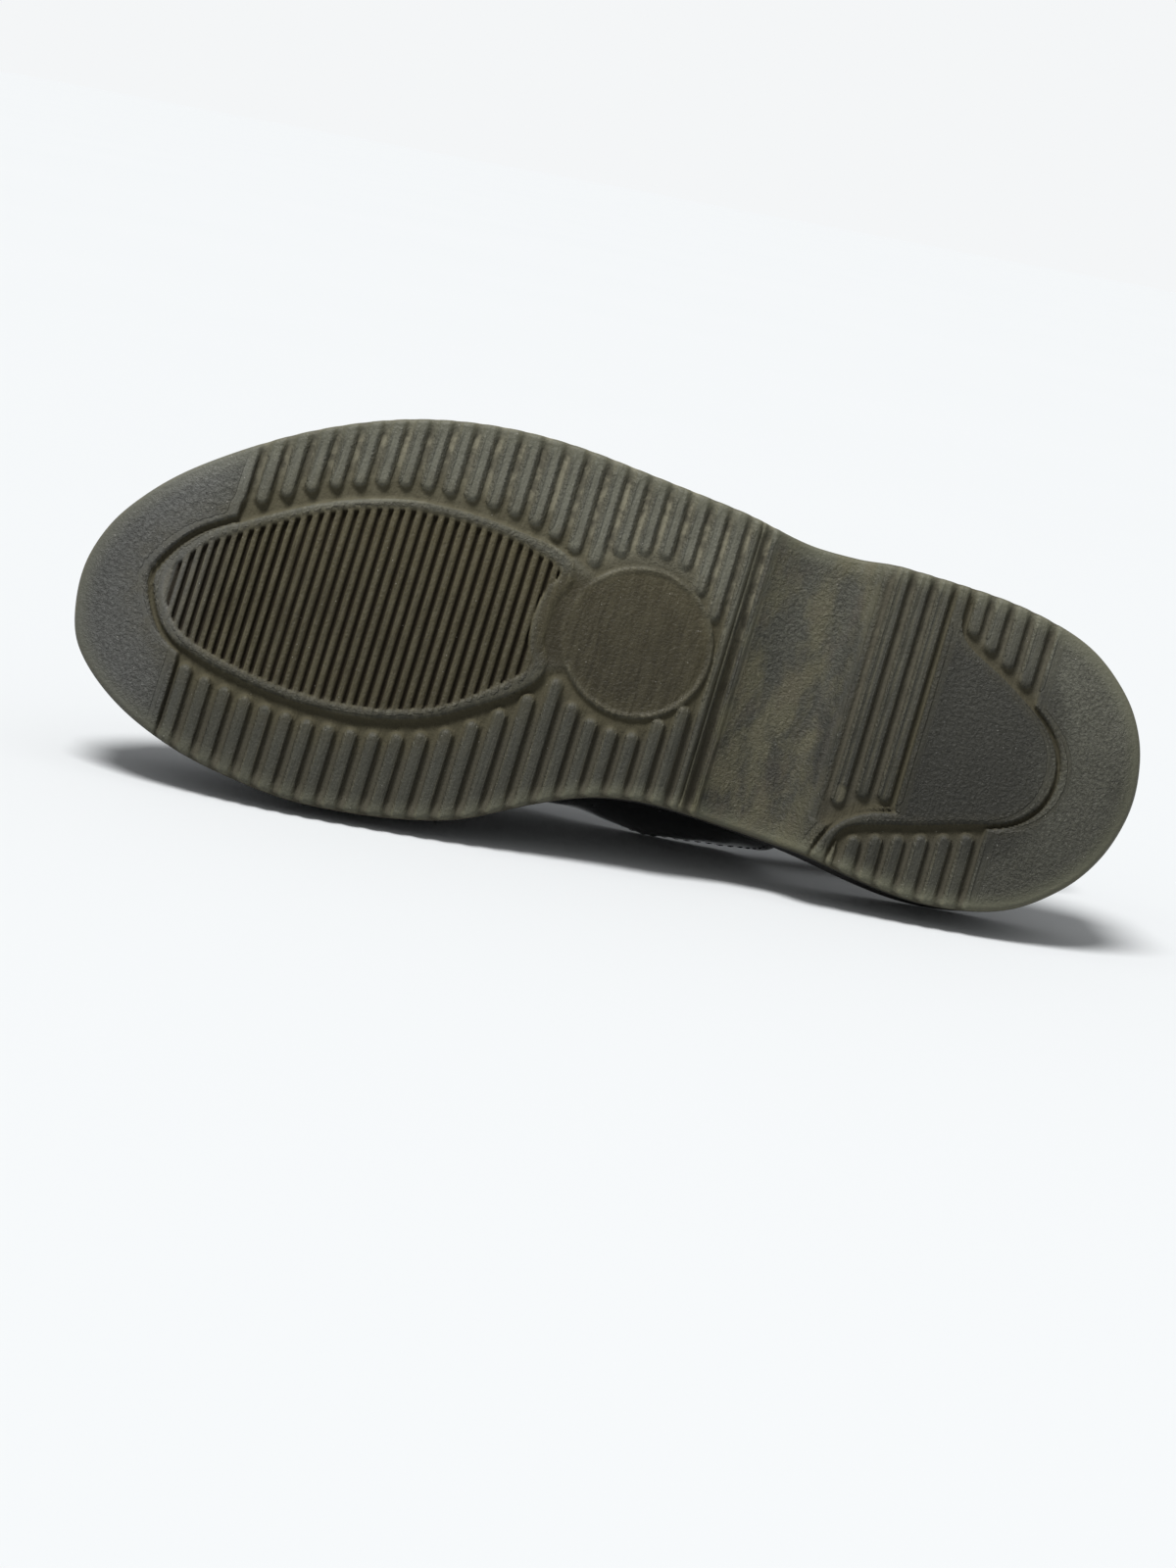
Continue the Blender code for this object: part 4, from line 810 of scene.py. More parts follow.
insole_inset = FEATHER_INSET + (WALL + FIT_GAP) * smooth(insole_x, *INSOLE_NARROWS)
insole_ends = []
for outer in (False, True):
    edge_points, inward = plan_side(insole_x, outer)
    insole_ends.append(edge_points + inward * insole_inset[:, None])
insole_sheet = blend(*insole_ends, row_shares(44, crowd=0.6)[:, None, None])
insole_flat = insole_sheet.reshape(-1, 2)
insole_loop = np.vstack([insole_ends[0], insole_ends[1][::-1]])
insole_reach = np.maximum(-signed_distance(*insole_flat.T, insole_loop), 0.0)
insole_fall = (1.0 - np.clip(insole_reach / INSOLE_EDGE[1], 0.0, 1.0)) ** 2
insole_lift = INSOLE_THICK - INSOLE_EDGE[0] * insole_fall
insole_lift += INSOLE_DISH[0] * smooth(insole_reach, *INSOLE_DISH[1:])
insole_heights = sole_top(insole_flat[:, 0]) + FIT_GAP + insole_lift
insole_levels = [(inset, lambda x, lift=lift: sole_top(x) + FIT_GAP + lift)
                 for inset, lift in INSOLE_LEVELS]
points, faces = slab(insole_sheet, insole_heights, insole_levels, 1.0, -1.0)
insole = new_piece("insole_board", points, faces, ("insole",))
settle(insole)

# %% [markdown]
# ## Upper
#
# The upper is one skin of patent leather, pulled over a last and folded in at the collar. A last
# maker draws it as ribs that stand up from the featherline, lean in and meet along the ridge of
# the foot. A cloth simulation would soften it too much, because patent leather is stiff; so the
# ribs are laid as a close grid, the folds are pressed in one by one, and the wall is added inwards.

# %% Tables of the upper
BASE_RISE = WELT_THICK + 0.6
SECTION_POWER = 0.80
RIDGE = (
    # x, height, reach to the inner side
    (60.0, 112.0, 1.0), (90.0, 110.0, 1.0), (115.0, 104.0, 2.0), (140.0, 94.0, 6.0),
    (160.0, 82.0, 10.0), (180.0, 70.5, 13.0), (196.0, 63.0, 16.0), (211.0, 58.0, 18.5),
    (225.0, 56.4, 20.0),
)
RIDGE_FRONT = 224.0
RIB_FAN_START = 178.0
SWELL = (
    # x, inner, outer
    (60.0, 6.0, 4.0), (90.0, 9.5, 5.0), (118.0, 14.5, 6.5), (142.0, 8.5, 7.0), (158.0, 3.5, 6.8),
    (172.0, 1.2, 6.0), (190.0, 0.8, 5.0), (220.0, 1.5, 3.5), (255.0, 2.6, 3.0), (275.0, 3.0, 3.0),
)
TOPLINE = (
    # x, height
    (80.0, 20.0), (81.5, 36.0), (84.5, 50.0), (92.0, 58.5), (104.0, 60.0), (122.0, 62.0),
    (140.0, 67.0), (154.0, 74.5), (164.0, 86.0),
)


# %% Ribs
def together(*values):
    """The same values, all in one shape."""
    return np.broadcast_arrays(*(np.asarray(value, float) for value in values))


def rib_axis(x):
    """Where along the ridge a rib ends that leaves the featherline at x."""
    span = SOLE_LENGTH - RIB_FAN_START
    end = (RIDGE_FRONT - RIB_FAN_START) / span
    u = np.clip((x - RIB_FAN_START) / span, 0.0, 1.0)
    fan = RIB_FAN_START + span * (u + (3.0 * end - 2.0) * u ** 2 + (1.0 - 2.0 * end) * u ** 3)
    return np.where(x <= RIB_FAN_START, x, fan)


def rib_points(x, outer, angle):
    """Points of the upper's outer face; an angle under 0 goes straight down to the insole."""
    x, angle = together(x, angle)
    edge, inward = plan_side(x, outer)
    foot = edge + inward * FEATHER_INSET
    axis_x = rib_axis(x)
    axis = np.stack([axis_x, -read_table(RIDGE, axis_x, 2)], -1)
    base = sole_top(foot[..., 0]) + FIT_GAP + BASE_RISE
    turn = np.radians(np.clip(angle, 0.0, 90.0))
    along = np.cos(turn) ** SECTION_POWER
    up = np.sin(turn) ** SECTION_POWER
    swell = read_table(SWELL, x, 2 if outer else 1) * np.sin(math.pi * np.sqrt(turn / (0.5 * math.pi)))
    plan = axis + (foot - axis) * along[..., None] - inward * swell[..., None]
    height = base + (read_table(RIDGE, axis_x, 1) - base) * up + BASE_RISE * np.minimum(angle, 0.0)
    return np.concatenate([plan, height[..., None]], -1)


def unit(vectors):
    return vectors / np.maximum(np.linalg.norm(vectors, axis=-1, keepdims=True), 1e-12)


def rib_normals(x, outer, angle):
    """Outward directions of the upper's outer face."""
    step = 0.5
    x, angle = together(x, angle)
    over = (angle + step > 90.0)[..., None]
    above = np.where(over, rib_points(x, not outer, 180.0 - angle - step),
                     rib_points(x, outer, angle + step))
    along = rib_points(x + step, outer, angle) - rib_points(x - step, outer, angle)
    across = above - rib_points(x, outer, np.maximum(0.0, angle - step))
    normal = unit(np.cross(along, across))
    return -normal if outer else normal


# %% Topline and throat
TOP_EDGE = smooth_run(TOPLINE, 12)


def topline(x):
    return np.interp(x, TOP_EDGE[:, 0], TOP_EDGE[:, 1])


def angle_at(x, z, outer):
    """Angle up the rib at which the upper's face reaches a height."""
    x, z = together(x, z)
    low, high = np.full(x.shape, -1.0), np.full(x.shape, 90.0)
    for _ in range(40):
        middle = 0.5 * (low + high)
        under = rib_points(x, outer, middle)[..., 2] < z
        low, high = np.where(under, middle, low), np.where(under, high, middle)
    return low


ridge_x = np.arange(150.0, 164.0, 0.01)
THROAT = float(ridge_x[np.argmax(topline(ridge_x) >= read_table(RIDGE, ridge_x, 1))])
print("the throat lies", round(THROAT, 1), "mm from the heel")

# %% [markdown]
# The seam that joins the apron to the side wall of the toe is a raised, puckered ridge. The folds
# come from walking: two across the vamp in front of the saddle strap, a shallow one on each
# quarter where the shoe bends behind the ball, and a slight waviness all over, which is what
# breaks up the highlights of patent leather.

# %% Seam, folds and waviness
SEAM_ANGLE = 50.6
SEAM_RISE = 1.2
SEAM_WIDTH = 1.9         # in degrees up the rib
SEAM_STARTS = (197.0, 206.0)
PUCKER_RISE = 0.22
PUCKER_WIDTH = 5.0
PUCKER_STARTS = (199.0, 208.0)
PUCKER_TURN = 1.5        # radians a millimetre along the seam
VAMP_FOLDS = (
    # x, slant per degree, width, depth
    (203.0, 0.05, 2.6, 0.7), (210.5, -0.04, 2.2, 0.55), (216.0, 0.03, 1.8, 0.3),
)
QUARTER_FOLDS = (
    # x, lean per degree, width, depth
    (150.0, -0.22, 3.4, 0.75), (139.0, -0.12, 5.0, 0.55), (126.0, 0.05, 6.5, 0.5),
    (108.0, 0.1, 7.0, 0.45),
)
WAVES = (
    # height, turn a millimetre, turn a degree, start
    (0.16, 0.19, 0.11, 0.0), (0.12, 0.31, -0.16, 1.3), (0.07, 0.57, 0.23, 0.6),
)
WAVES_SUNK = 0.22        # keeps the waviness inside the plain face


def pressed(x, angle, along):
    """How far the leather stands out of the plain ribs."""
    off_seam = angle - SEAM_ANGLE
    lift = SEAM_RISE * smooth(x, *SEAM_STARTS) * np.exp(-(off_seam / SEAM_WIDTH) ** 2)
    lift = lift + (PUCKER_RISE * np.cos(along * PUCKER_TURN) * smooth(x, *PUCKER_STARTS)
                   * np.exp(-(off_seam / PUCKER_WIDTH) ** 2))
    on_vamp = smooth(angle, 52.0, 62.0)
    for middle, slant, width, depth in VAMP_FOLDS:
        lift = lift - depth * on_vamp * np.exp(-((x - middle - slant * (angle - 60.0)) / width) ** 2)
    on_quarter = smooth(angle, 4.0, 16.0) * fade(angle, 62.0, 84.0)
    for middle, lean, width, depth in QUARTER_FOLDS:
        lift = lift - depth * on_quarter * np.exp(-((x - middle - lean * angle) / width) ** 2)
    waves = sum(height * np.sin(per_mm * x + per_degree * angle + start)
                for height, per_mm, per_degree, start in WAVES) - WAVES_SUNK
    calm = 1.0 - smooth(x, 198.0, 226.0) * smooth(angle, 30.0, 62.0)
    return lift + waves * smooth(angle, 2.0, 14.0) * calm


# %% The upper's outer face
upper_x = np.concatenate([np.arange(80.7, 85.5, 0.35), np.arange(86.0, THROAT - 12.0, 1.7),
                          crowded(THROAT, -11.2, 18), np.arange(THROAT + 0.9, 261.0, 1.55),
                          crowded(SOLE_LENGTH - 0.02, -18.0, 34)])
RIB_ANGLES = np.concatenate([np.linspace(0.0, 43.0, 31, endpoint=False),
                             np.linspace(43.0, 58.0, 32, endpoint=False), np.linspace(58.0, 90.0, 24)])
SKIRT = np.array((-1.0, -0.5))   # two rows go straight down behind the welt
SEAM_ROW = 50                    # the seam's length is measured along this row
faces_up, lifts, seam_runs = [], [], []
for outer in (False, True):
    tops = np.where(upper_x < THROAT, angle_at(upper_x, topline(upper_x), outer), 90.0)
    angles = np.maximum(tops, 0.0)[None] * RIB_ANGLES[:, None] / 90.0
    low = np.minimum(SKIRT[:, None], tops[None])
    angles = np.vstack([low, np.where(tops[None] < 0.0, tops[None], angles)])
    face = rib_points(upper_x[None], outer, angles)
    along = lengths_along(face[SEAM_ROW])
    faces_up.append(face)
    lifts.append(pressed(np.broadcast_to(upper_x, angles.shape), angles, along[None]))
    seam_runs.append(along)
face, lift = (np.concatenate([inner, outer[:, ::-1]], axis=1) for inner, outer in (faces_up, lifts))
# the ridge is shared, so its lift is the mean of both sides
on_ridge = np.concatenate([upper_x >= THROAT, upper_x[::-1] >= THROAT])
lift[-1] = np.where(on_ridge, 0.5 * (lift[-1] + lift[-1][::-1]), lift[-1])
normal = unit(np.cross(np.gradient(face, axis=1), np.gradient(face, axis=0)))
normal[-1] = np.where(on_ridge[:, None], unit(normal[-1] + normal[-1][::-1]), normal[-1])
face = face + normal * lift[..., None]
print("upper grid", face.shape)

# %% Add the wall and round its edge
upper = new_piece("upper_leather", face.reshape(-1, 3), quads(*face.shape[:2]),
                  ("upper",))
wall = upper.modifiers.new("wall", "SOLIDIFY")
wall.thickness = WALL * MM
wall.offset = -1.0
wall.material_offset = 1
ease_edges(upper, 0.55, 3, 55.0)
settle(upper)

# %% [markdown]
# ## Saddle strap
#
# A plain strap of the same leather lies over the vamp, from featherline to featherline. Leather
# that is laid over leather shows by its thickness and its rounded edge, so it is a solid of its
# own, lifted off the same ribs.

# %% Saddle strap
SADDLE_X = (168.0, 194.0)
SADDLE_THICK = 1.5
SADDLE_EDGE = 1.3        # width of its rounded edge
SADDLE_GAP = FIT_GAP + 0.12
saddle_x = np.linspace(*SADDLE_X, 30)
saddle_angle = np.concatenate([np.linspace(5.0, 8.0, 6), np.linspace(10.0, 90.0, 64)])
from_side = np.minimum(saddle_x - SADDLE_X[0], SADDLE_X[1] - saddle_x)
pad = SADDLE_THICK * np.sqrt(1.0 - (1.0 - np.clip(from_side / SADDLE_EDGE, 0.0, 1.0)) ** 4)
over, under = [], []
for outer, rows in ((False, slice(None)), (True, slice(-2, None, -1))):
    place = rib_points(saddle_x[None], outer, saddle_angle[:, None])
    normals = rib_normals(saddle_x[None], outer, saddle_angle[:, None])
    over.append((place + normals * (SADDLE_GAP + pad[None, :, None]))[rows])
    under.append((place + normals * FIT_GAP)[rows])
over, under = np.concatenate(over), np.concatenate(under)
shell = np.concatenate([over, under[:, ::-1]], axis=1)
rows, columns = shell.shape[:2]
faces = quads(rows, columns, closed=True)
for first in (0, (rows - 1) * columns):
    for k in range(columns // 2 - 1):
        a, b = first + k, first + columns - 1 - k
        faces.append([a, a + 1, b - 1, b])
saddle = new_piece("saddle_band", shell.reshape(-1, 3), faces, ("saddle_strap",))
settle(saddle)

# %% [markdown]
# ## Sling strap
#
# The strap is sewn inside the inner quarter, runs free round the heel and passes through the
# buckle to the outer quarter, where its end lies under the keeper. It is swept along three lanes,
# its lower edge, its middle and its upper edge, so that it can twist as it goes.

# %% Sizes of strap and buckle
STRAP_WIDTH = 12.0
STRAP_THICK = 2.0
STRAP_CLEAR = 0.5
STRAP_GRIP = (91.0, 52.0)
STRAP_RISE = 0.22        # its slope along the quarters
STRAP_LEAN = 0.12        # its lean toward the heel of the foot, in radians
HEEL_MIDDLE = 60.0
STRAP_ENDS = (113.0, 121.0)      # on the inner and on the outer quarter
STRAP_RUN = (
    # x, half width of the free run's middle, height
    (58.0, 31.0, 60.5), (42.0, 28.6, 66.5), (27.0, 24.8, 72.5), (15.5, 18.4, 77.0),
    (9.0, 10.2, 80.0), (7.0, 0.0, 81.0),
)
BUCKLE_WIRE = 1.1
RAIL_AT = np.array((27.5, 2.8))  # the frame's two long sides, back and out from the grip point
BAR_AT = np.array((10.5, -1.3))
BUCKLE_STATIONS = (31.0, 27.5, 24.0, 20.5, 18.0, 15.5, 13.0, 10.5)
STRAP_BENDS = (12.0, 21.0)       # it climbs here from the rail onto the quarter


# %% Axes at the buckle
def wall_spot(x, z, outer, offset):
    """Point beside the quarter's outer face at a height, and the outward direction there."""
    angle = angle_at(x, z, outer)
    normal = rib_normals(x, outer, angle)
    return rib_points(x, outer, angle) + normal * offset, normal


def strap_height(x):
    return STRAP_GRIP[1] + STRAP_RISE * (STRAP_GRIP[0] - x)


class BuckleAxes:
    """Axes at the grip point on the outer quarter's inner face: back, out and up."""

    def __init__(self):
        ahead, behind = (wall_spot(x, strap_height(x), True, -WALL)[0]
                         for x in (STRAP_GRIP[0] + 4.0, STRAP_GRIP[0] - 4.0))
        self.origin, normal = wall_spot(*STRAP_GRIP, True, -WALL)
        self.back = unit(behind - ahead)
        self.up = unit(np.cross(self.back, normal))
        self.up = self.up * np.sign(self.up[2])
        self.out = unit(np.cross(self.up, self.back))
        self.out = self.out * np.sign(self.out @ normal)

    def at(self, back, out, up=0.0):
        return self.origin + self.back * back + self.out * out + self.up * up


grip = BuckleAxes()


# %% Stations of the strap
def strap_stations():
    """Lower, middle and upper point of the strap at each station, and its outward directions."""
    lanes = 0.5 * STRAP_WIDTH * np.array((-1.0, 0.0, 1.0))
    resting = STRAP_CLEAR + 0.5 * STRAP_THICK
    places, outwards = [], []

    def on_quarter(x, outer, offset):
        place, normal = wall_spot(x, strap_height(x) + lanes, outer, offset)
        places.append(place)
        outwards.append(normal)

    for x in np.linspace(STRAP_ENDS[0], STRAP_GRIP[0], 3):
        on_quarter(x, False, -(WALL + resting))
    path = [(x, -width, z) for x, width, z in STRAP_RUN]
    path += [(x, width, z) for x, width, z in STRAP_RUN[-2::-1]]
    for i, (x, y, z) in enumerate(path):
        before = path[i - 1] if i > 0 else (x + 10.0, y, z)
        after = path[i + 1] if i + 1 < len(path) else (x + 10.0, y, z)
        along = unit(np.array((after[0] - before[0], after[1] - before[1])))
        out = np.array((-along[1], along[0], 0.0))
        out = out * np.sign(out[:2] @ (x - HEEL_MIDDLE, y))
        sine, cosine = math.sin(STRAP_LEAN), math.cos(STRAP_LEAN)
        places.append(np.array((x, y, z)) + lanes[:, None] * (-out * sine + (0.0, 0.0, cosine)))
        outwards.append(np.tile(out * cosine + (0.0, 0.0, sine), (3, 1)))
    high, low = WALL + resting, RAIL_AT[1] - BUCKLE_WIRE - resting
    for back in BUCKLE_STATIONS:
        out = blend(low, high, float(fade(back, *STRAP_BENDS)))
        places.append(np.array([grip.at(back, out, rise) for rise in lanes]))
        outwards.append(np.tile(grip.out, (3, 1)))
    for x in np.linspace(STRAP_GRIP[0], STRAP_ENDS[1], 5):
        on_quarter(x, True, resting)
    return np.array(places), np.array(outwards)


# %% Sweep the strap
ACROSS = np.sin(np.linspace(-0.5 * math.pi, 0.5 * math.pi, 17))
TIP_LENGTH = 6.0         # the strap narrows to its tip over this length


def lane_mix(lanes, w):
    """Quadratic mix of lower, middle and upper lane; w runs from -1 to 1."""
    w = w[:, None, None]
    shares = (w * (w - 1.0) / 2.0, 1.0 - w * w, w * (w + 1.0) / 2.0)
    return sum(lanes[:, k] * share for k, share in enumerate(shares))


def swept_strap(places, outwards, steps):
    lanes = np.stack([smooth_run(places[:, k], steps) for k in range(3)], 1)
    facing = unit(np.stack([smooth_run(outwards[:, k], steps) for k in range(3)], 1))
    middle = lanes[:, 1]
    length = lengths_along(middle)
    to_tip = length[-1] - length
    narrow = np.sqrt(1.0 - (1.0 - np.clip((to_tip + 0.05) / TIP_LENGTH, 0.0, 1.0)) ** 2.4)
    lanes = middle[:, None] + (lanes - middle[:, None]) * narrow[:, None, None]
    thick = 0.5 * STRAP_THICK * np.sqrt(1.0 - np.abs(ACROSS) ** 7)[:, None, None]
    base, face = lane_mix(lanes, ACROSS), unit(lane_mix(facing, ACROSS))
    section = np.concatenate([base + face * thick, (base - face * thick)[-2:0:-1]], axis=0)
    return section.transpose(1, 0, 2), lanes, facing, length


strap_places, strap_outwards = strap_stations()
rings, strap_lanes, strap_facing, strap_length = swept_strap(strap_places, strap_outwards, 10)
faces = swept_faces(*rings.shape[:2])
strap = new_piece("sling_band", rings.reshape(-1, 3), faces, ("sling_strap",))
print("the strap is", round(float(strap_length[-1])), "mm long")

# %% [markdown]
# The prong needs its slot, and the loose end has the spare holes of any buckled strap. Holes are
# the one job for which a boolean is the plain answer.

# %% Slot and spare holes
PRONG_WIRE = 0.8
PRONG_ROOM = 0.4
SLOT = (11.0, 19.6)
SLOT_LIFT = (-3.0, 6.0)
SPARE_HOLES = (8.0, 14.0, 20.0)  # from the tip of the strap
HOLE_RADIUS = 0.95


def cutter_from(rings, name):
    """A closed cutter skinned from rings of shoe points."""
    faces = swept_faces(len(rings), len(rings[0]))
    return add_object(name, skinned(name, to_world(np.vstack(rings)), faces))


def grip_block(back, out, up):
    """Rings of a block at the grip point, from its three ranges."""
    corners = ((0, 0), (1, 0), (1, 1), (0, 1))
    return [[grip.at(b, out[i], up[k]) for i, k in corners] for b in back]


def around(count):
    """Angles of the points of a ring, as a column."""
    return np.linspace(0.0, 2.0 * math.pi, count + 1)[:-1, None]


def cut_with(piece, cutters):
    for cutter in cutters:
        hole = piece.modifiers.new(cutter.name, "BOOLEAN")
        hole.solver = "EXACT"
        hole.object = cutter
    settle(piece)
    for cutter in cutters:
        bpy.data.objects.remove(cutter)


room = PRONG_WIRE + PRONG_ROOM
cutters = [cutter_from(grip_block(SLOT, SLOT_LIFT, (-room, room)), "slot_cutter")]
for distance in SPARE_HOLES:
    k = int(np.argmin(np.abs(strap_length - (strap_length[-1] - distance))))
    middle, out = strap_lanes[k, 1], strap_facing[k, 1]
    along = unit(strap_lanes[k + 1, 1] - strap_lanes[k - 1, 1])
    turns = around(16)
    round_edge = middle + HOLE_RADIUS * (np.cos(turns) * along + np.sin(turns) * np.cross(out, along))
    cutters.append(cutter_from([round_edge - 2.0 * out, round_edge + 2.0 * out], f"hole_cutter_{k}"))
cut_with(strap, cutters)

# %% [markdown]
# ## Buckle, tab and keeper
#
# The buckle is bent from round wire and hangs in a leather loop inside the outer quarter. Wire is
# a circle swept along its bends; the loop and the keeper are bands with eased edges.

# %% Sweep wire
WIRE_SIDES = 20
WIRE_END = 0.55          # the ends of a wire are this much thinner


def bent_wire(name, path, radius, facing, closed, node):
    """Round wire along a path that lies in one plane, square to facing."""
    path = np.array(path)
    after, before = np.roll(path, -1, axis=0), np.roll(path, 1, axis=0)
    if not closed:
        after[-1], before[0] = path[-1], path[0]
    aside = unit(np.cross(unit(after - before), facing))
    scale = np.ones(len(path))
    if not closed:
        scale[[0, -1]] = WIRE_END
    turns = around(WIRE_SIDES)[None]
    spokes = np.cos(turns) * aside[:, None] + np.sin(turns) * facing
    rings = path[:, None] + radius * scale[:, None, None] * spokes
    faces = swept_faces(len(path), WIRE_SIDES, joined=closed)
    wire = new_piece(name, rings.reshape(-1, 3), faces, (node,))
    settle(wire)
    return wire


def bend(corner, before, after, reach, steps=10):
    """A bend at a corner between two others."""
    t = np.linspace(0.0, 1.0, steps)[:, None]
    start, end = (corner + unit(other - corner) * reach for other in (before, after))
    return (1.0 - t) ** 2 * start + 2.0 * t * (1.0 - t) * corner + t ** 2 * end


# %% Frame and prong
BUCKLE_HEIGHT = 17.0
BUCKLE_CORNER = 3.2
PRONG_HOOK = (265, 230, 195, 160, 130, 103)
half = 0.5 * BUCKLE_HEIGHT
corners = [grip.at(*spot, up) for spot, up in ((BAR_AT, -half), (BAR_AT, half), (RAIL_AT, half),
                                               (RAIL_AT, -half))]
frame_path = [bend(corner, corners[i - 1], corners[(i + 1) % 4], BUCKLE_CORNER)
              for i, corner in enumerate(corners)]
buckle_plane = unit(np.cross(corners[1] - corners[0], corners[2] - corners[1]))
buckle = bent_wire("buckle_wire", np.vstack(frame_path), BUCKLE_WIRE, buckle_plane, True,
                   "buckle_frame")
turn_radius = BUCKLE_WIRE + FIT_GAP + PRONG_WIRE


def round_bar(radius, angle, up=0.0):
    """A spot round the frame's bar; the angle is in radians."""
    return grip.at(BAR_AT[0] + radius * math.cos(angle), BAR_AT[1] + radius * math.sin(angle), up)


hook = [round_bar(turn_radius, math.radians(degrees)) for degrees in PRONG_HOOK]
tip = grip.at(RAIL_AT[0] + 1.6, RAIL_AT[1] + turn_radius + 0.2)
hook += [blend(hook[-1], tip, share) for share in (0.25, 0.5, 0.75, 1.0)]
prong = bent_wire("buckle_pin", smooth_run(hook, 6), PRONG_WIRE, grip.up, False, "buckle_prong")

# %% Leather loop round the bar
TAB_WIDTH = 9.0
TAB_LEATHER = 1.1
TAB_FRONT = -7.0         # front end of the tab, behind the grip point
TAB_FACES = (-0.7, -2.7) # outer and inner face, out from the grip point
TAB_GAP = (7.0, 16.0)    # the prong's gap in the loop
TAB_GAP_LIFT = (-6.0, 4.0)
bore = BUCKLE_WIRE + FIT_GAP
loop_radius = bore + TAB_LEATHER
start, end = (math.atan2(side - BAR_AT[1], -math.sqrt(loop_radius ** 2 - (side - BAR_AT[1]) ** 2))
              for side in TAB_FACES)
half = 0.5 * TAB_WIDTH
loop_rings = [[grip.at(TAB_FRONT, side, up) for side in TAB_FACES[::-1]]
              + [round_bar(loop_radius, angle, up) for angle in np.linspace(start, end, 30)]
              for up in (-half, half)]
faces = swept_faces(2, len(loop_rings[0]))
tab = new_piece("buckle_loop", np.vstack(loop_rings), faces, ("buckle_tab",))
ease_edges(tab, 0.35, 2, 50.0)
bore_rings = [[round_bar(bore, float(angle), up) for angle in around(32)[:, 0]]
              for up in (-half - 4.0, half + 4.0)]
cut_with(tab, [cutter_from(bore_rings, "bore_cutter"),
               cutter_from(grip_block(TAB_GAP, TAB_GAP_LIFT, (-room, room)), "gap_cutter")])

# %% Keeper
KEEPER_LENGTH = 5.0
KEEPER_AHEAD = 9.0       # its rear edge in front of the grip point
KEEPER_BULGE = 0.35
half = 0.5 * STRAP_WIDTH + STRAP_CLEAR
under_strap = STRAP_CLEAR + STRAP_THICK + STRAP_CLEAR
KEEPER_SECTION = (
    # rise and lift of the inner edge, rise and lift of the outer edge
    (-half, FIT_GAP, -half - 1.5, FIT_GAP),
    (-half, 0.6 * under_strap, -half - 1.5, 0.6 * under_strap),
    (-half, under_strap, -half - 1.2, under_strap + 0.7),
    (-0.5 * half, under_strap, -0.5 * half, under_strap + 1.3),
    (0.5 * half, under_strap, 0.5 * half, under_strap + 1.3),
    (half, under_strap, half + 1.2, under_strap + 0.7),
    (half, 0.6 * under_strap, half + 1.5, 0.6 * under_strap),
    (half, FIT_GAP, half + 1.5, FIT_GAP),
)
keeper_shares = np.linspace(0.0, 1.0, 7)
keeper_x = STRAP_GRIP[0] + KEEPER_AHEAD + KEEPER_LENGTH * keeper_shares
bulge = KEEPER_BULGE * (1.0 - (2.0 * keeper_shares - 1.0) ** 4)
rings = []
for rise_in, lift_in, rise_out, lift_out in smooth_run(KEEPER_SECTION, 5):
    low = [wall_spot(x, strap_height(x) + rise_in, True, lift_in)[0] for x in keeper_x]
    high = [wall_spot(x, strap_height(x) + rise_out, True, lift_out - KEEPER_BULGE + swell)[0]
            for x, swell in zip(keeper_x, bulge)]
    rings.append(low + high[::-1])
faces = swept_faces(len(rings), len(rings[0]))
keeper = new_piece("keeper_loop", np.vstack(rings), faces, ("strap_keeper",))
settle(keeper)

# %% [markdown]
# ## Stitching
#
# A shoe's stitches are bars of waxed thread that dip into the leather at both ends. A texture
# could fake them, but a real bar catches the light. Each row is a run of points on the leather:
# round the topline, along both edges of the saddle and of the strap, over the apron's seam, and
# in the channel of the welt.

# %% Bars of thread
THREAD_SHARES = np.array((0.0, 0.14, 0.5, 0.86, 1.0))
THREAD_DIP = np.array((-0.42, -0.12, 0.0, -0.12, -0.42))
THREAD_SWELL = np.array((0.6, 0.95, 1.0, 0.95, 0.6))


def bars_along(run, facing, pitch, length):
    """Middle lines and facings of the bars of one row."""
    spots = lengths_along(run)
    count = int(spots[-1] / pitch)
    first = 0.5 * (spots[-1] - count * pitch + pitch - length)
    at = first + pitch * np.arange(count)[:, None] + length * THREAD_SHARES
    out = unit(read_run(at, spots, facing))
    return read_run(at, spots, run) + out * THREAD_DIP[:, None], out


def thread_piece(name, rows, radius):
    """One piece from all the bars of some rows."""
    middle, out = (np.concatenate([row[k] for row in rows]) for k in range(2))
    along = unit(np.gradient(middle, axis=1))
    side = unit(np.cross(along, out))
    turns = around(7)
    ring = np.cos(turns) * side[:, :, None] + np.sin(turns) * np.cross(side, along)[:, :, None]
    bars = middle[:, :, None] + radius * THREAD_SWELL[None, :, None, None] * ring
    steps, sides = bars.shape[1:3]
    one_bar = swept_faces(steps, sides)
    faces = [[corner + k * steps * sides for corner in face]
             for k in range(len(bars)) for face in one_bar]
    piece = new_piece(name, bars.reshape(-1, 3), faces)
    settle(piece)
    return piece


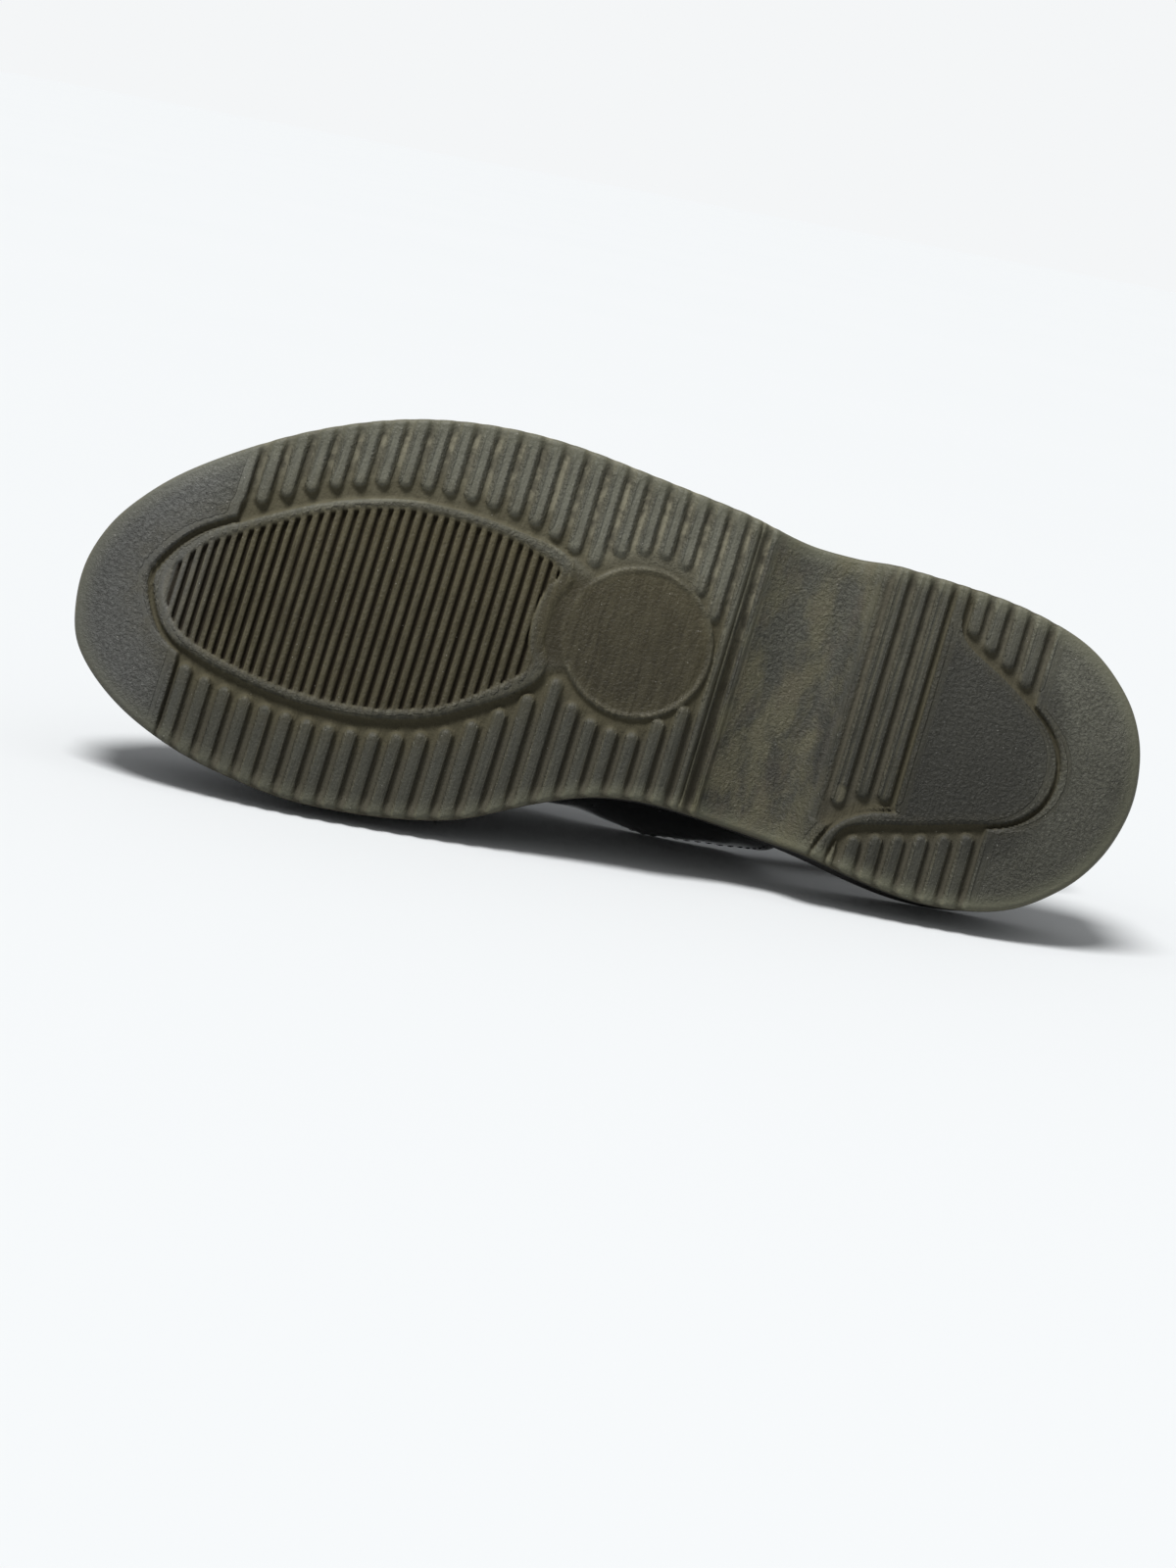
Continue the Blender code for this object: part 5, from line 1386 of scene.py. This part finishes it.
# %% Rows of the upper and the strap
EDGE_MARGIN = 2.0        # from the edge of the leather to its row
THREAD = 0.26            # radius of the upper's thread
LEATHER_STITCH = (3.1, 2.3)      # from bar to bar, length of a bar
STRAP_STITCH = (2.9, 2.1)
STRAP_ROWS = (-0.72, 0.72)       # shares of the strap's half width
BARE_TIP = 5.0                   # the strap's tip has no stitches
stitch_rows = []
edge_x = np.concatenate([np.linspace(80.8, 86.0, 14, endpoint=False), np.arange(86.0, THROAT, 1.0)])
edge_line = np.stack([edge_x, topline(edge_x)], 1)
slope = unit(np.gradient(edge_line, axis=0))
row_line = edge_line + EDGE_MARGIN * np.stack([slope[:, 1], -slope[:, 0]], 1)
row_x, row_height = row_line[(row_line[:, 1] > 24.0) & (row_line[:, 0] < THROAT - 1.0)].T
for outer in (False, True):
    angle = angle_at(row_x, row_height, outer)
    out = rib_normals(row_x, outer, angle)
    run = rib_points(row_x, outer, angle) + out * pressed(row_x, angle, 0.0)[:, None]
    stitch_rows.append(bars_along(run, out, *LEATHER_STITCH))
angle = np.linspace(9.0, 89.0, 60)
for x in (SADDLE_X[0] + EDGE_MARGIN, SADDLE_X[1] - EDGE_MARGIN):
    runs, outs = [], []
    for outer, order in ((False, 1), (True, -1)):
        out = rib_normals(x, outer, angle)
        runs.append((rib_points(x, outer, angle) + out * (SADDLE_GAP + SADDLE_THICK))[::order])
        outs.append(out[::order])
    stitch_rows.append(bars_along(np.concatenate(runs), np.concatenate(outs), *LEATHER_STITCH))
keep = strap_length < strap_length[-1] - BARE_TIP
for w in STRAP_ROWS:
    run, out = lane_mix(strap_lanes, np.array((w,)))[0], unit(lane_mix(strap_facing, np.array((w,))))[0]
    stitch_rows.append(bars_along((run + out * 0.5 * STRAP_THICK)[keep], out[keep], *STRAP_STITCH))

# %% Bars over the apron's seam
PUCKER_PITCH = 2.0 * math.pi / PUCKER_TURN
SEAM_REACH = 4.4         # degrees up and down the rib that a bar covers
SEAM_STITCHED = (201.0, 278.5)
for outer, run in zip((False, True), seam_runs):
    spots = np.arange(0.5, run[-1] / PUCKER_PITCH - 0.5) * PUCKER_PITCH
    x = np.interp(spots, run, upper_x)
    x = x[(x > SEAM_STITCHED[0]) & (x < SEAM_STITCHED[1])]
    angle = SEAM_ANGLE + SEAM_REACH * (2.0 * THREAD_SHARES - 1.0)
    x, angle = together(x[:, None], angle)
    out = rib_normals(x, outer, angle)
    height = pressed(x, angle, 0.5 * PUCKER_PITCH) + 0.1 + THREAD_DIP
    stitch_rows.append((rib_points(x, outer, angle) + out * height[..., None], out))
upper_thread = thread_piece("upper_stitching", stitch_rows, THREAD)

# %% Row of the welt
WELT_ROW = (3.8, 2.68)   # inset, height over the sole
WELT_STITCH = (4.2, 3.3)
WELT_THREAD = 0.42
welt_run = OUTLINE + OUTLINE_INWARD * WELT_ROW[0]
welt_run = np.column_stack([welt_run, sole_top(welt_run[:, 0]) + FIT_GAP + WELT_ROW[1]])
upright = np.tile((0.0, 0.0, 1.0), (len(welt_run), 1))
welt_bars = bars_along(welt_run, upright, *WELT_STITCH)
welt_thread = thread_piece("welt_stitching", [welt_bars], WELT_THREAD)

# %% [markdown]
# ## Finishes
#
# Each finish is a small net of nodes. What several finishes share, such as fine grain, soft
# patches and dust, is built once as a node group and placed in each of them with its own values.

# %% Node helpers
def feed(tree, socket, value):
    """Link a socket to another, or set its constant."""
    if isinstance(value, bpy.types.NodeSocket):
        tree.links.new(value, socket)
    elif socket.type == "RGBA":
        socket.default_value = (*value, 1.0)
    else:
        socket.default_value = value


def place_node(tree, kind, inputs=None, **settings):
    node = tree.nodes.new("ShaderNode" + kind)
    for key, value in settings.items():
        setattr(node, key, value)
    for key, value in (inputs or {}).items():
        feed(tree, node.inputs[key], value)
    return node


def calc(tree, operation, a, b=0.0):
    return place_node(tree, "Math", {0: a, 1: b}, operation=operation).outputs[0]


def times(tree, *factors):
    product = factors[0]
    for factor in factors[1:]:
        product = calc(tree, "MULTIPLY", product, factor)
    return product


def between(tree, value, low, high, start=0.0, end=1.0):
    """Smooth step of a value, from start at low to end at high."""
    ranges = {"Value": value, "From Min": low, "From Max": high, "To Min": start, "To Max": end}
    return place_node(tree, "MapRange", ranges, interpolation_type="SMOOTHSTEP").outputs[0]


def mix(tree, share, a, b):
    return place_node(tree, "Mix", {0: share, 6: a, 7: b}, data_type="RGBA").outputs[2]


def noise(tree, place, scale, detail=3.0, roughness=0.55, distortion=0.0):
    values = {"Vector": place, "Scale": scale, "Detail": detail, "Roughness": roughness,
              "Distortion": distortion}
    return place_node(tree, "TexNoise", values).outputs["Fac"]


def vector_math(tree, operation, a, b):
    return place_node(tree, "VectorMath", {0: a, 1: b}, operation=operation).outputs[0]


def noted(tree, name, kind="Fac"):
    return place_node(tree, "Attribute", attribute_name=name).outputs[kind]


# %% Node groups
def new_group(name, inputs, output):
    """A node group with a place and named values, in millimetres, and one named output."""
    tree = bpy.data.node_groups.new(name, "ShaderNodeTree")
    tree.interface.new_socket("Place", in_out="INPUT", socket_type="NodeSocketVector")
    for label, value in inputs.items():
        socket = tree.interface.new_socket(label, in_out="INPUT", socket_type="NodeSocketFloat")
        socket.default_value = value
    tree.interface.new_socket(output, in_out="OUTPUT", socket_type="NodeSocketFloat")
    given = tree.nodes.new("NodeGroupInput").outputs
    return tree, given, tree.nodes.new("NodeGroupOutput").inputs[output]


def grouped(tree, group, place, **inputs):
    """Place a shared group and return its output."""
    node = tree.nodes.new("ShaderNodeGroup")
    node.node_tree = group
    for key, value in {"Place": place, **inputs}.items():
        feed(tree, node.inputs[key], value)
    return node.outputs[0]


# %% Shared groups: grain, patches, dust
grain, given, put = new_group("grain", {"Size": 1.0, "Depth": 0.5}, "Height")
per_size = calc(grain, "DIVIDE", 1.0, given["Size"])
pebbles = place_node(grain, "TexVoronoi", {"Vector": given["Place"], "Scale": per_size},
                     feature="SMOOTH_F1").outputs["Distance"]
fibres = noise(grain, given["Place"], times(grain, per_size, 2.3), 4.0)
both = calc(grain, "ADD", times(grain, pebbles, 0.6), times(grain, fibres, 0.6))
feed(grain, put, times(grain, both, given["Depth"]))

patches, given, put = new_group("patches", {"Size": 10.0, "Cover": 0.5, "Soft": 0.2}, "Mask")
cloud = noise(patches, given["Place"], calc(patches, "DIVIDE", 1.0, given["Size"]), 5.0, 0.6)
threshold = calc(patches, "SUBTRACT", 0.75, times(patches, given["Cover"], 0.5))
feed(patches, put, between(patches, cloud, calc(patches, "SUBTRACT", threshold, given["Soft"]),
                           calc(patches, "ADD", threshold, given["Soft"])))

dust, given, put = new_group("dust", {"Size": 0.5, "Amount": 0.1}, "Mask")
per_size = calc(dust, "DIVIDE", 0.35, given["Size"])
spots = place_node(dust, "TexVoronoi", {"Vector": given["Place"], "Scale": per_size}, feature="F1")
pick = place_node(dust, "SeparateColor", {0: spots.outputs["Color"]}).outputs[0]
feed(dust, put, times(dust, between(dust, spots.outputs["Distance"], 0.30, 0.12),
                      calc(dust, "LESS_THAN", pick, given["Amount"])))


# %% Start a finish
def new_finish(name, **fixed):
    """A material with its main shader; fixed values stand on the shader's own sockets."""
    finish = bpy.data.materials.new(name)
    finish.use_nodes = True
    tree = finish.node_tree
    shader = tree.nodes["Principled BSDF"]
    for key, value in fixed.items():
        shader.inputs[key.replace("_", " ")].default_value = value
    return finish, tree, shader


def raise_surface(tree, shader, height, distance, strength=1.0):
    bump = place_node(tree, "Bump", {"Height": height, "Distance": distance * MM, "Strength": strength})
    feed(tree, shader.inputs["Normal"], bump.outputs["Normal"])


def dress(finishes, *pieces):
    for piece in pieces:
        piece.data.materials.clear()
        for finish in finishes:
            piece.data.materials.append(finish)


# %% [markdown]
# ### Sole rubber
#
# The rubber is a dark olive grey with a faint bloom on it. Wear is what makes it real: brown dust
# pressed into the grooves, tan clouds on the waist where the foot bends, and a fine leathery grain on
# the smooth plates. Light and shade are painted in as well: the outer side, which faces up, is
# lighter, its lugs and grooves most; the lugs' shoulders and the rolled edge carry painted
# highlights; and the oval's fine grooves are darkened with painted shade.

# %% Noted values and soft patches
rubber, tree, shader = new_finish("sole_rubber", Specular_IOR_Level=0.15)
place = noted(tree, "shoe_place", "Vector")
depth, from_edge, dusty, stained, lit_shoulder, ribbed = (
    noted(tree, name) for name in ("depth", "from_edge", "dusty", "stained", "lit_shoulder", "ribbed"))
apart = place_node(tree, "SeparateXYZ", {0: place})
x_along, y_across = apart.outputs["X"], apart.outputs["Y"]
clouds = grouped(tree, patches, place, Size=30.0, Cover=0.55, Soft=0.18)
mottle = grouped(tree, patches, place, Size=4.0, Cover=0.5, Soft=0.25)
STRETCHED = (
    # stretch, size, cover and softness of patches that run along the lugs or across the waist
    ((1.0, 0.12, 0.3), 1.1, 0.5, 0.25), ((1.0, 0.45, 1.0), 8.0, 0.48, 0.12),
    ((0.9, 0.5, 2.0), 6.0, 0.35, 0.14),
)
streaks, tan_clouds, red_clouds = (
    grouped(tree, patches, vector_math(tree, "MULTIPLY", place, stretch),
            Size=size, Cover=cover, Soft=soft)
    for stretch, size, cover, soft in STRETCHED)
wrinkles = noise(tree, place, 1.0, 3.5, 0.68, 0.4)
salt = noise(tree, place, 2.2, 2.0, 0.7)
# Share toward the outer side, which faces up as the shoe lies; below it carries painted light and shade
# from above.
lit_from_above = between(tree, y_across, -34.0, 40.0)
waist = times(tree, between(tree, x_along, 74.0, 86.0), between(tree, x_along, 118.0, 108.0))
panel = times(tree, between(tree, x_along, 66.0, 54.0), between(tree, x_along, 18.0, 34.0),
              between(tree, from_edge, 0.9, 2.0))
plate = times(tree, between(tree, ribbed, 0.9, 0.1), between(tree, stained, 1.0, 0.0, 0.3, 1.0),
              between(tree, from_edge, 0.10, 0.5, 0.15, 1.0))


def layered(colour, *layers):
    """Lay colours over the first, each by its share."""
    for share, over in layers:
        colour = mix(tree, share, colour, over)
    return colour


# %% Colours of the clean rubber
GREY_RUBBER = ((0.027, 0.0272, 0.0208), (0.038, 0.0383, 0.0300))
STAINED_RUBBER = (0.026, 0.0220, 0.0110)
PALE_STREAK = (0.070, 0.067, 0.047)
DARK_MOTTLE = (0.014, 0.013, 0.010)
TOE_GREY = (0.087, 0.089, 0.089)
PANEL_BLACK = (0.012, 0.012, 0.0105)
# The next colour is a painted rim light along the tread's rolled edge.
OLIVE_RIM_LIGHT = (0.085, 0.085, 0.058)
colour = layered(mix(tree, clouds, *GREY_RUBBER),
                 (stained, STAINED_RUBBER),
                 (times(tree, streaks, ribbed, 0.24), PALE_STREAK),
                 (times(tree, mottle, 0.25), DARK_MOTTLE),
                 (times(tree, between(tree, x_along, 240.0, 262.0), 0.62), TOE_GREY),
                 (times(tree, panel, 0.85), PANEL_BLACK))

# %% Lighter and darker places
bare_stain = times(tree, stained, between(tree, ribbed, 0.5, 0.0))
oval = times(tree, stained, between(tree, x_along, 158.0, 166.0))
in_middle = times(tree, between(tree, x_along, 54.0, 62.0), between(tree, x_along, 118.0, 108.0))
heel_rim = times(tree, between(tree, x_along, 62.0, 36.0), between(tree, panel, 0.5, 0.0),
                 between(tree, ribbed, 0.5, 0.0))
long_ribs = times(tree, between(tree, x_along, 52.0, 58.0), between(tree, x_along, 86.0, 82.0))
# The outer side's lugs are lighter, and the whole tread runs from darker on the inner side to lighter
# on the outer: painted light and shade from above.
lit_lugs = times(tree, ribbed, lit_from_above, between(tree, x_along, 90.0, 112.0), 0.9)
lightness = times(tree, between(tree, lit_from_above, 0.0, 1.0, 0.66, 1.30),
                  calc(tree, "ADD", 1.0, lit_lugs))
for mask, factor in ((bare_stain, 0.92), (oval, 1.75), (in_middle, 0.90), (heel_rim, 1.45),
                     (long_ribs, 0.70)):
    lightness = times(tree, lightness, between(tree, mask, 0.0, 1.0, 1.0, factor))
grained = calc(tree, "ADD", 1.0, times(tree, plate, between(tree, wrinkles, 0.32, 0.68, -0.34, 0.34)))
lightness = times(tree, lightness, grained, between(tree, salt, 0.3, 0.7, 0.76, 1.10))
colour = place_node(tree, "VectorMath", {0: colour, "Scale": lightness}, operation="SCALE").outputs[0]
# A lighter olive rim along the tread's edge, strongest toward the heel: painted light from behind.
rim_light_share = times(tree, between(tree, from_edge, 0.60, 0.05),
                  between(tree, x_along, 235.0, 60.0, 0.35, 0.75))
colour = mix(tree, rim_light_share, colour, OLIVE_RIM_LIGHT)

# %% Dirt, painted shade and painted light on the rubber
BROWN_DUST = (0.040, 0.0340, 0.0165)
PACKED_DIRT_AND_TOP_LIGHT = ((0.033, 0.0290, 0.0190), (0.130, 0.1200, 0.0830))      # inner side: dirt; outer side: dirt lightened by painted light from above
# The fine grooves of the oval: dirt, darkened further as painted shade.
FINE_GROOVE_DIRT_AND_SHADE = (0.0135, 0.0100, 0.0052)
WAIST_TAN = (0.072, 0.066, 0.037)
WAIST_RED = (0.060, 0.044, 0.033)
# A painted highlight on the lugs' shoulders, where light catches their edges.
SHOULDER_HIGHLIGHT = (0.098, 0.088, 0.054)
PALE_SPECK = (0.5, 0.48, 0.43)
# Colour in the grooves: dirt, darker in the oval's fine grooves as painted shade, and paler on the
# outer side as painted light from above.
groove_dirt_and_light = between(tree, depth, 0.24, 0.62)
pale_dust_and_light = times(tree, lit_from_above, between(tree, mottle, 0.2, 0.8, 1.0, 0.15),
                  between(tree, x_along, 90.0, 104.0, 0.2, 1.0))
in_groove = layered(mix(tree, pale_dust_and_light, *PACKED_DIRT_AND_TOP_LIGHT),
                    (stained, FINE_GROOVE_DIRT_AND_SHADE),
                    (times(tree, dusty, 0.8), BROWN_DUST))
specks = grouped(tree, dust, place, Size=0.16, Amount=0.004)
# Below, the grooves get dirt with painted shade and painted light, and the lugs' shoulders a painted
# highlight.
colour = layered(colour,
                 (times(tree, waist, tan_clouds, 0.65), WAIST_TAN),
                 (times(tree, waist, red_clouds, 0.22), WAIST_RED),
                 (times(tree, groove_dirt_and_light, 0.85), in_groove),
                 (times(tree, dusty, between(tree, mottle, 0.0, 1.0, 0.10, 0.34)), BROWN_DUST),
                 (times(tree, lit_shoulder, between(tree, streaks, 0.0, 1.0, 0.10, 0.45)), SHOULDER_HIGHLIGHT),
                 (times(tree, specks, 0.5), PALE_SPECK))

# %% Bloom and grain of the rubber
BLOOM = ((0.0105, 0.0104, 0.0085), (0.0135, 0.0132, 0.0108))          # inner side, outer side; the outer side's greater bloom is painted light from above
bloom = mix(tree, stained, mix(tree, lit_from_above, *BLOOM), (0.0, 0.0, 0.0))
feed(tree, shader.inputs["Base Color"], vector_math(tree, "ADD", colour, bloom))
feed(tree, shader.inputs["Roughness"], between(tree, groove_dirt_and_light, 0.0, 1.0, 0.48, 0.85))
pores = grouped(tree, grain, place, Size=0.7, Depth=0.3)
relief = calc(tree, "ADD", times(tree, wrinkles, between(tree, plate, 0.0, 1.0, 0.25, 1.0)),
              calc(tree, "ADD", times(tree, pores, 0.6), times(tree, streaks, ribbed, 0.2)))
raise_surface(tree, shader, relief, 0.8)
dress([rubber], outsole_rear, outsole_front)

# %% [markdown]
# ### Patent leather
#
# Patent leather is leather under a thick clear lacquer: nearly black below, with a hard coat that
# mirrors the room, slightly uneven like orange peel, and always a little dusty.

# %% Patent leather
patent, tree, shader = new_finish("patent_leather", Roughness=0.22, Coat_Weight=0.8,
                                  Coat_Roughness=0.03, Coat_IOR=1.42, Specular_IOR_Level=0.12)
place = noted(tree, "shoe_place", "Vector")
haze = grouped(tree, patches, place, Size=30.0, Cover=0.5, Soft=0.25)
specks = grouped(tree, dust, place, Size=0.2, Amount=0.008)
colour = layered(mix(tree, haze, (0.0022, 0.0022, 0.0026), (0.0045, 0.0045, 0.005)),
                 (times(tree, specks, 0.35), (0.35, 0.34, 0.32)))
feed(tree, shader.inputs["Base Color"], colour)
feed(tree, shader.inputs["Roughness"], calc(tree, "ADD", 0.16, times(tree, haze, 0.14)))
raise_surface(tree, shader, noise(tree, place, 0.45, 2.0, 0.4), 0.10, 0.5)

# %% [markdown]
# ### Lining, footbed, welt, thread and metal
#
# The quieter finishes are all made alike: two colours and two degrees of gloss in soft patches,
# over a fine relief.

# %% Quiet finishes
def quiet_finish(name, mask_of, colours, gloss, relief_of, height, **fixed):
    """A finish of two colours and two roughnesses, shared out by a mask, over a relief."""
    finish, tree, shader = new_finish(name, **fixed)
    place = noted(tree, "shoe_place", "Vector")
    mask = mask_of(tree, place)
    feed(tree, shader.inputs["Base Color"], mix(tree, mask, *colours))
    feed(tree, shader.inputs["Roughness"], between(tree, mask, *gloss))
    raise_surface(tree, shader, relief_of(tree, place), height)
    return finish


def in_patches(**values):
    return lambda tree, place: grouped(tree, patches, place, **values)


def in_grain(**values):
    return lambda tree, place: grouped(tree, grain, place, **values)


def twist(tree, place):
    return noise(tree, place, 5.0, 2.0)


lining = quiet_finish("lining_leather", in_patches(Size=14.0, Cover=0.5, Soft=0.3),
                      ((0.020, 0.019, 0.018), (0.034, 0.032, 0.030)), (0.0, 1.0, 0.62, 0.78),
                      in_grain(Size=0.8, Depth=0.8), 0.12, Specular_IOR_Level=0.3)
footbed = quiet_finish("footbed_leather", in_patches(Size=40.0, Cover=0.6, Soft=0.3),
                       ((0.028, 0.026, 0.024), (0.050, 0.045, 0.040)), (0.0, 1.0, 0.66, 0.48),
                       in_grain(Size=1.0, Depth=0.8), 0.10, Specular_IOR_Level=0.35)
welt_edge = quiet_finish("welt_edge", in_patches(Size=7.0, Cover=0.4, Soft=0.2),
                         ((0.013, 0.013, 0.012), (0.034, 0.032, 0.028)), (0.0, 1.0, 0.4, 0.62),
                         in_grain(Size=0.7, Depth=0.7), 0.10, Specular_IOR_Level=0.4)
thread = quiet_finish("waxed_thread", twist, ((0.006, 0.006, 0.006), (0.016, 0.0155, 0.015)),
                      (0.2, 0.8, 0.35, 0.6), twist, 0.10, Specular_IOR_Level=0.35)
metal = quiet_finish("buckle_metal", in_patches(Size=3.0, Cover=0.45, Soft=0.25),
                     ((0.62, 0.60, 0.56), (0.48, 0.46, 0.43)), (0.0, 1.0, 0.16, 0.34),
                     lambda tree, place: noise(tree, place, 3.0), 0.02, Metallic=1.0)
dress([patent], saddle, strap, tab, keeper)
dress([patent, lining], upper)
dress([thread], upper_thread, welt_thread)
dress([welt_edge], welt)
dress([footbed], insole)
dress([metal], buckle, prong)

# %% [markdown]
# ## Floor, light and camera
#
# The floor is a wide flat disc of pale paper. A broad soft sun high above lights floor and shoe; a
# window lamp in front of the tread lights the shoe alone, so that the floor stays even. The camera
# looks nearly square at the tread and is rolled, because the shoe lies with its inner side down.

# %% Floor
FLOOR_RINGS = (0.0, 0.15, 0.3, 0.5, 0.8, 1.3, 2.2, 4.0, 8.0, 16.0, 40.0)
turns = around(64)
rings = [radius * np.hstack([np.cos(turns), np.sin(turns), 0.0 * turns]) for radius in FLOOR_RINGS]
mesh = skinned("pale_floor", np.vstack(rings), quads(len(rings), len(turns), closed=True), merge=1e-5)
floor = add_object("pale_floor", mesh)
floor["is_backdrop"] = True
paper, tree, shader = new_finish("pale_paper", Roughness=0.95, Specular_IOR_Level=0.1)
tone = noise(tree, place_node(tree, "TexCoord").outputs["Object"], 1.2)
feed(tree, shader.inputs["Base Color"], mix(tree, tone, (0.84, 0.86, 0.87), (0.86, 0.875, 0.885)))
mesh.materials.append(paper)

# %% Camera
VIEW_ROLL = math.radians(18.39)
VIEW_TILT = math.radians(3.0)
VIEW_TURN = math.radians(-3.4)
VIEW_TARGET = (137.2, -40.9, 0.0)
VIEW_DISTANCE = 877.0
LENS = 77.9
right = np.array((-math.cos(VIEW_ROLL), math.sin(VIEW_ROLL), 0.0))
upward = np.array((math.sin(VIEW_ROLL), math.cos(VIEW_ROLL), 0.0))
straight = np.array((0.0, 0.0, -1.0))
away = math.cos(VIEW_TURN) * straight + math.sin(VIEW_TURN) * right
right = math.cos(VIEW_TURN) * right - math.sin(VIEW_TURN) * straight
back = math.cos(VIEW_TILT) * away - math.sin(VIEW_TILT) * upward
lens_up = math.cos(VIEW_TILT) * upward + math.sin(VIEW_TILT) * away
camera = add_object("camera", bpy.data.cameras.new("camera"))
camera.data.lens = LENS
camera.data.sensor_width = 36.0
camera.data.clip_start = 0.01
view_axes = Matrix([turn_to_world(axis) for axis in (right, lens_up, back)]).transposed()
spot = Vector(to_world(np.array(VIEW_TARGET) + back * VIEW_DISTANCE))
camera.matrix_world = Matrix.Translation(spot) @ view_axes.to_4x4()
bpy.context.scene.camera = camera
print("the camera stands", round(spot.z, 3), "m over the floor")


# %% Lamps
LAMP_AT = (-0.16, 0.92, 0.58)    # from the target: to the right, up and out from the tread, in metres
LAMP_WIDTH = 0.2
LAMP_WATTS = 3.1
LAMP_SPREAD = math.radians(90.0)
SUN_FROM = (-0.22, 0.28)         # its lean to the right and out from the tread
SUN_STRENGTH = 2.62
SUN_SIZE = math.radians(24.0)


def shine(lamp, direction):
    lamp.rotation_mode = "QUATERNION"
    lamp.rotation_quaternion = direction.to_track_quat("-Z", "Y")


shoe_only = bpy.data.collections.new("shoe_only")
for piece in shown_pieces():
    shoe_only.objects.link(piece)
window = add_object("window_lamp", bpy.data.lights.new("window_lamp", "AREA"))
window.data.shape = "RECTANGLE"
window.data.size = LAMP_WIDTH
window.data.size_y = 1.6 * LAMP_WIDTH
window.data.spread = LAMP_SPREAD
window.data.energy = LAMP_WATTS
window.light_linking.receiver_collection = shoe_only
middle = Vector(to_world(VIEW_TARGET))
window.location = middle + turn_to_world(LAMP_AT[0] * right + LAMP_AT[1] * upward + LAMP_AT[2] * away)
shine(window, middle - window.location)
sky = add_object("sky_lamp", bpy.data.lights.new("sky_lamp", "SUN"))
sky.data.energy = SUN_STRENGTH
sky.data.angle = SUN_SIZE
shine(sky, -turn_to_world(SUN_FROM[0] * right + SUN_FROM[1] * away) - Vector((0.0, 0.0, 1.0)))

# %% [markdown]
# The room itself gives a weak even light, and a ray from the camera that misses the floor meets
# the same pale tone as the floor, so no horizon shows.

# %% Room
ROOM_LIGHT, ROOM_SEEN = 0.32, 0.93
ROOM_COLOUR = (0.975, 0.99, 1.0)
world = bpy.data.worlds.new("soft_room")
bpy.context.scene.world = world
world.use_nodes = True
tree = world.node_tree
background = tree.nodes["Background"]
seen = place_node(tree, "LightPath").outputs["Is Camera Ray"]
share = place_node(tree, "MapRange", {"Value": seen, "To Min": ROOM_LIGHT, "To Max": ROOM_SEEN})
feed(tree, background.inputs["Color"], ROOM_COLOUR)
feed(tree, background.inputs["Strength"], share.outputs["Result"])
bpy.context.scene.view_settings.view_transform = "Standard"
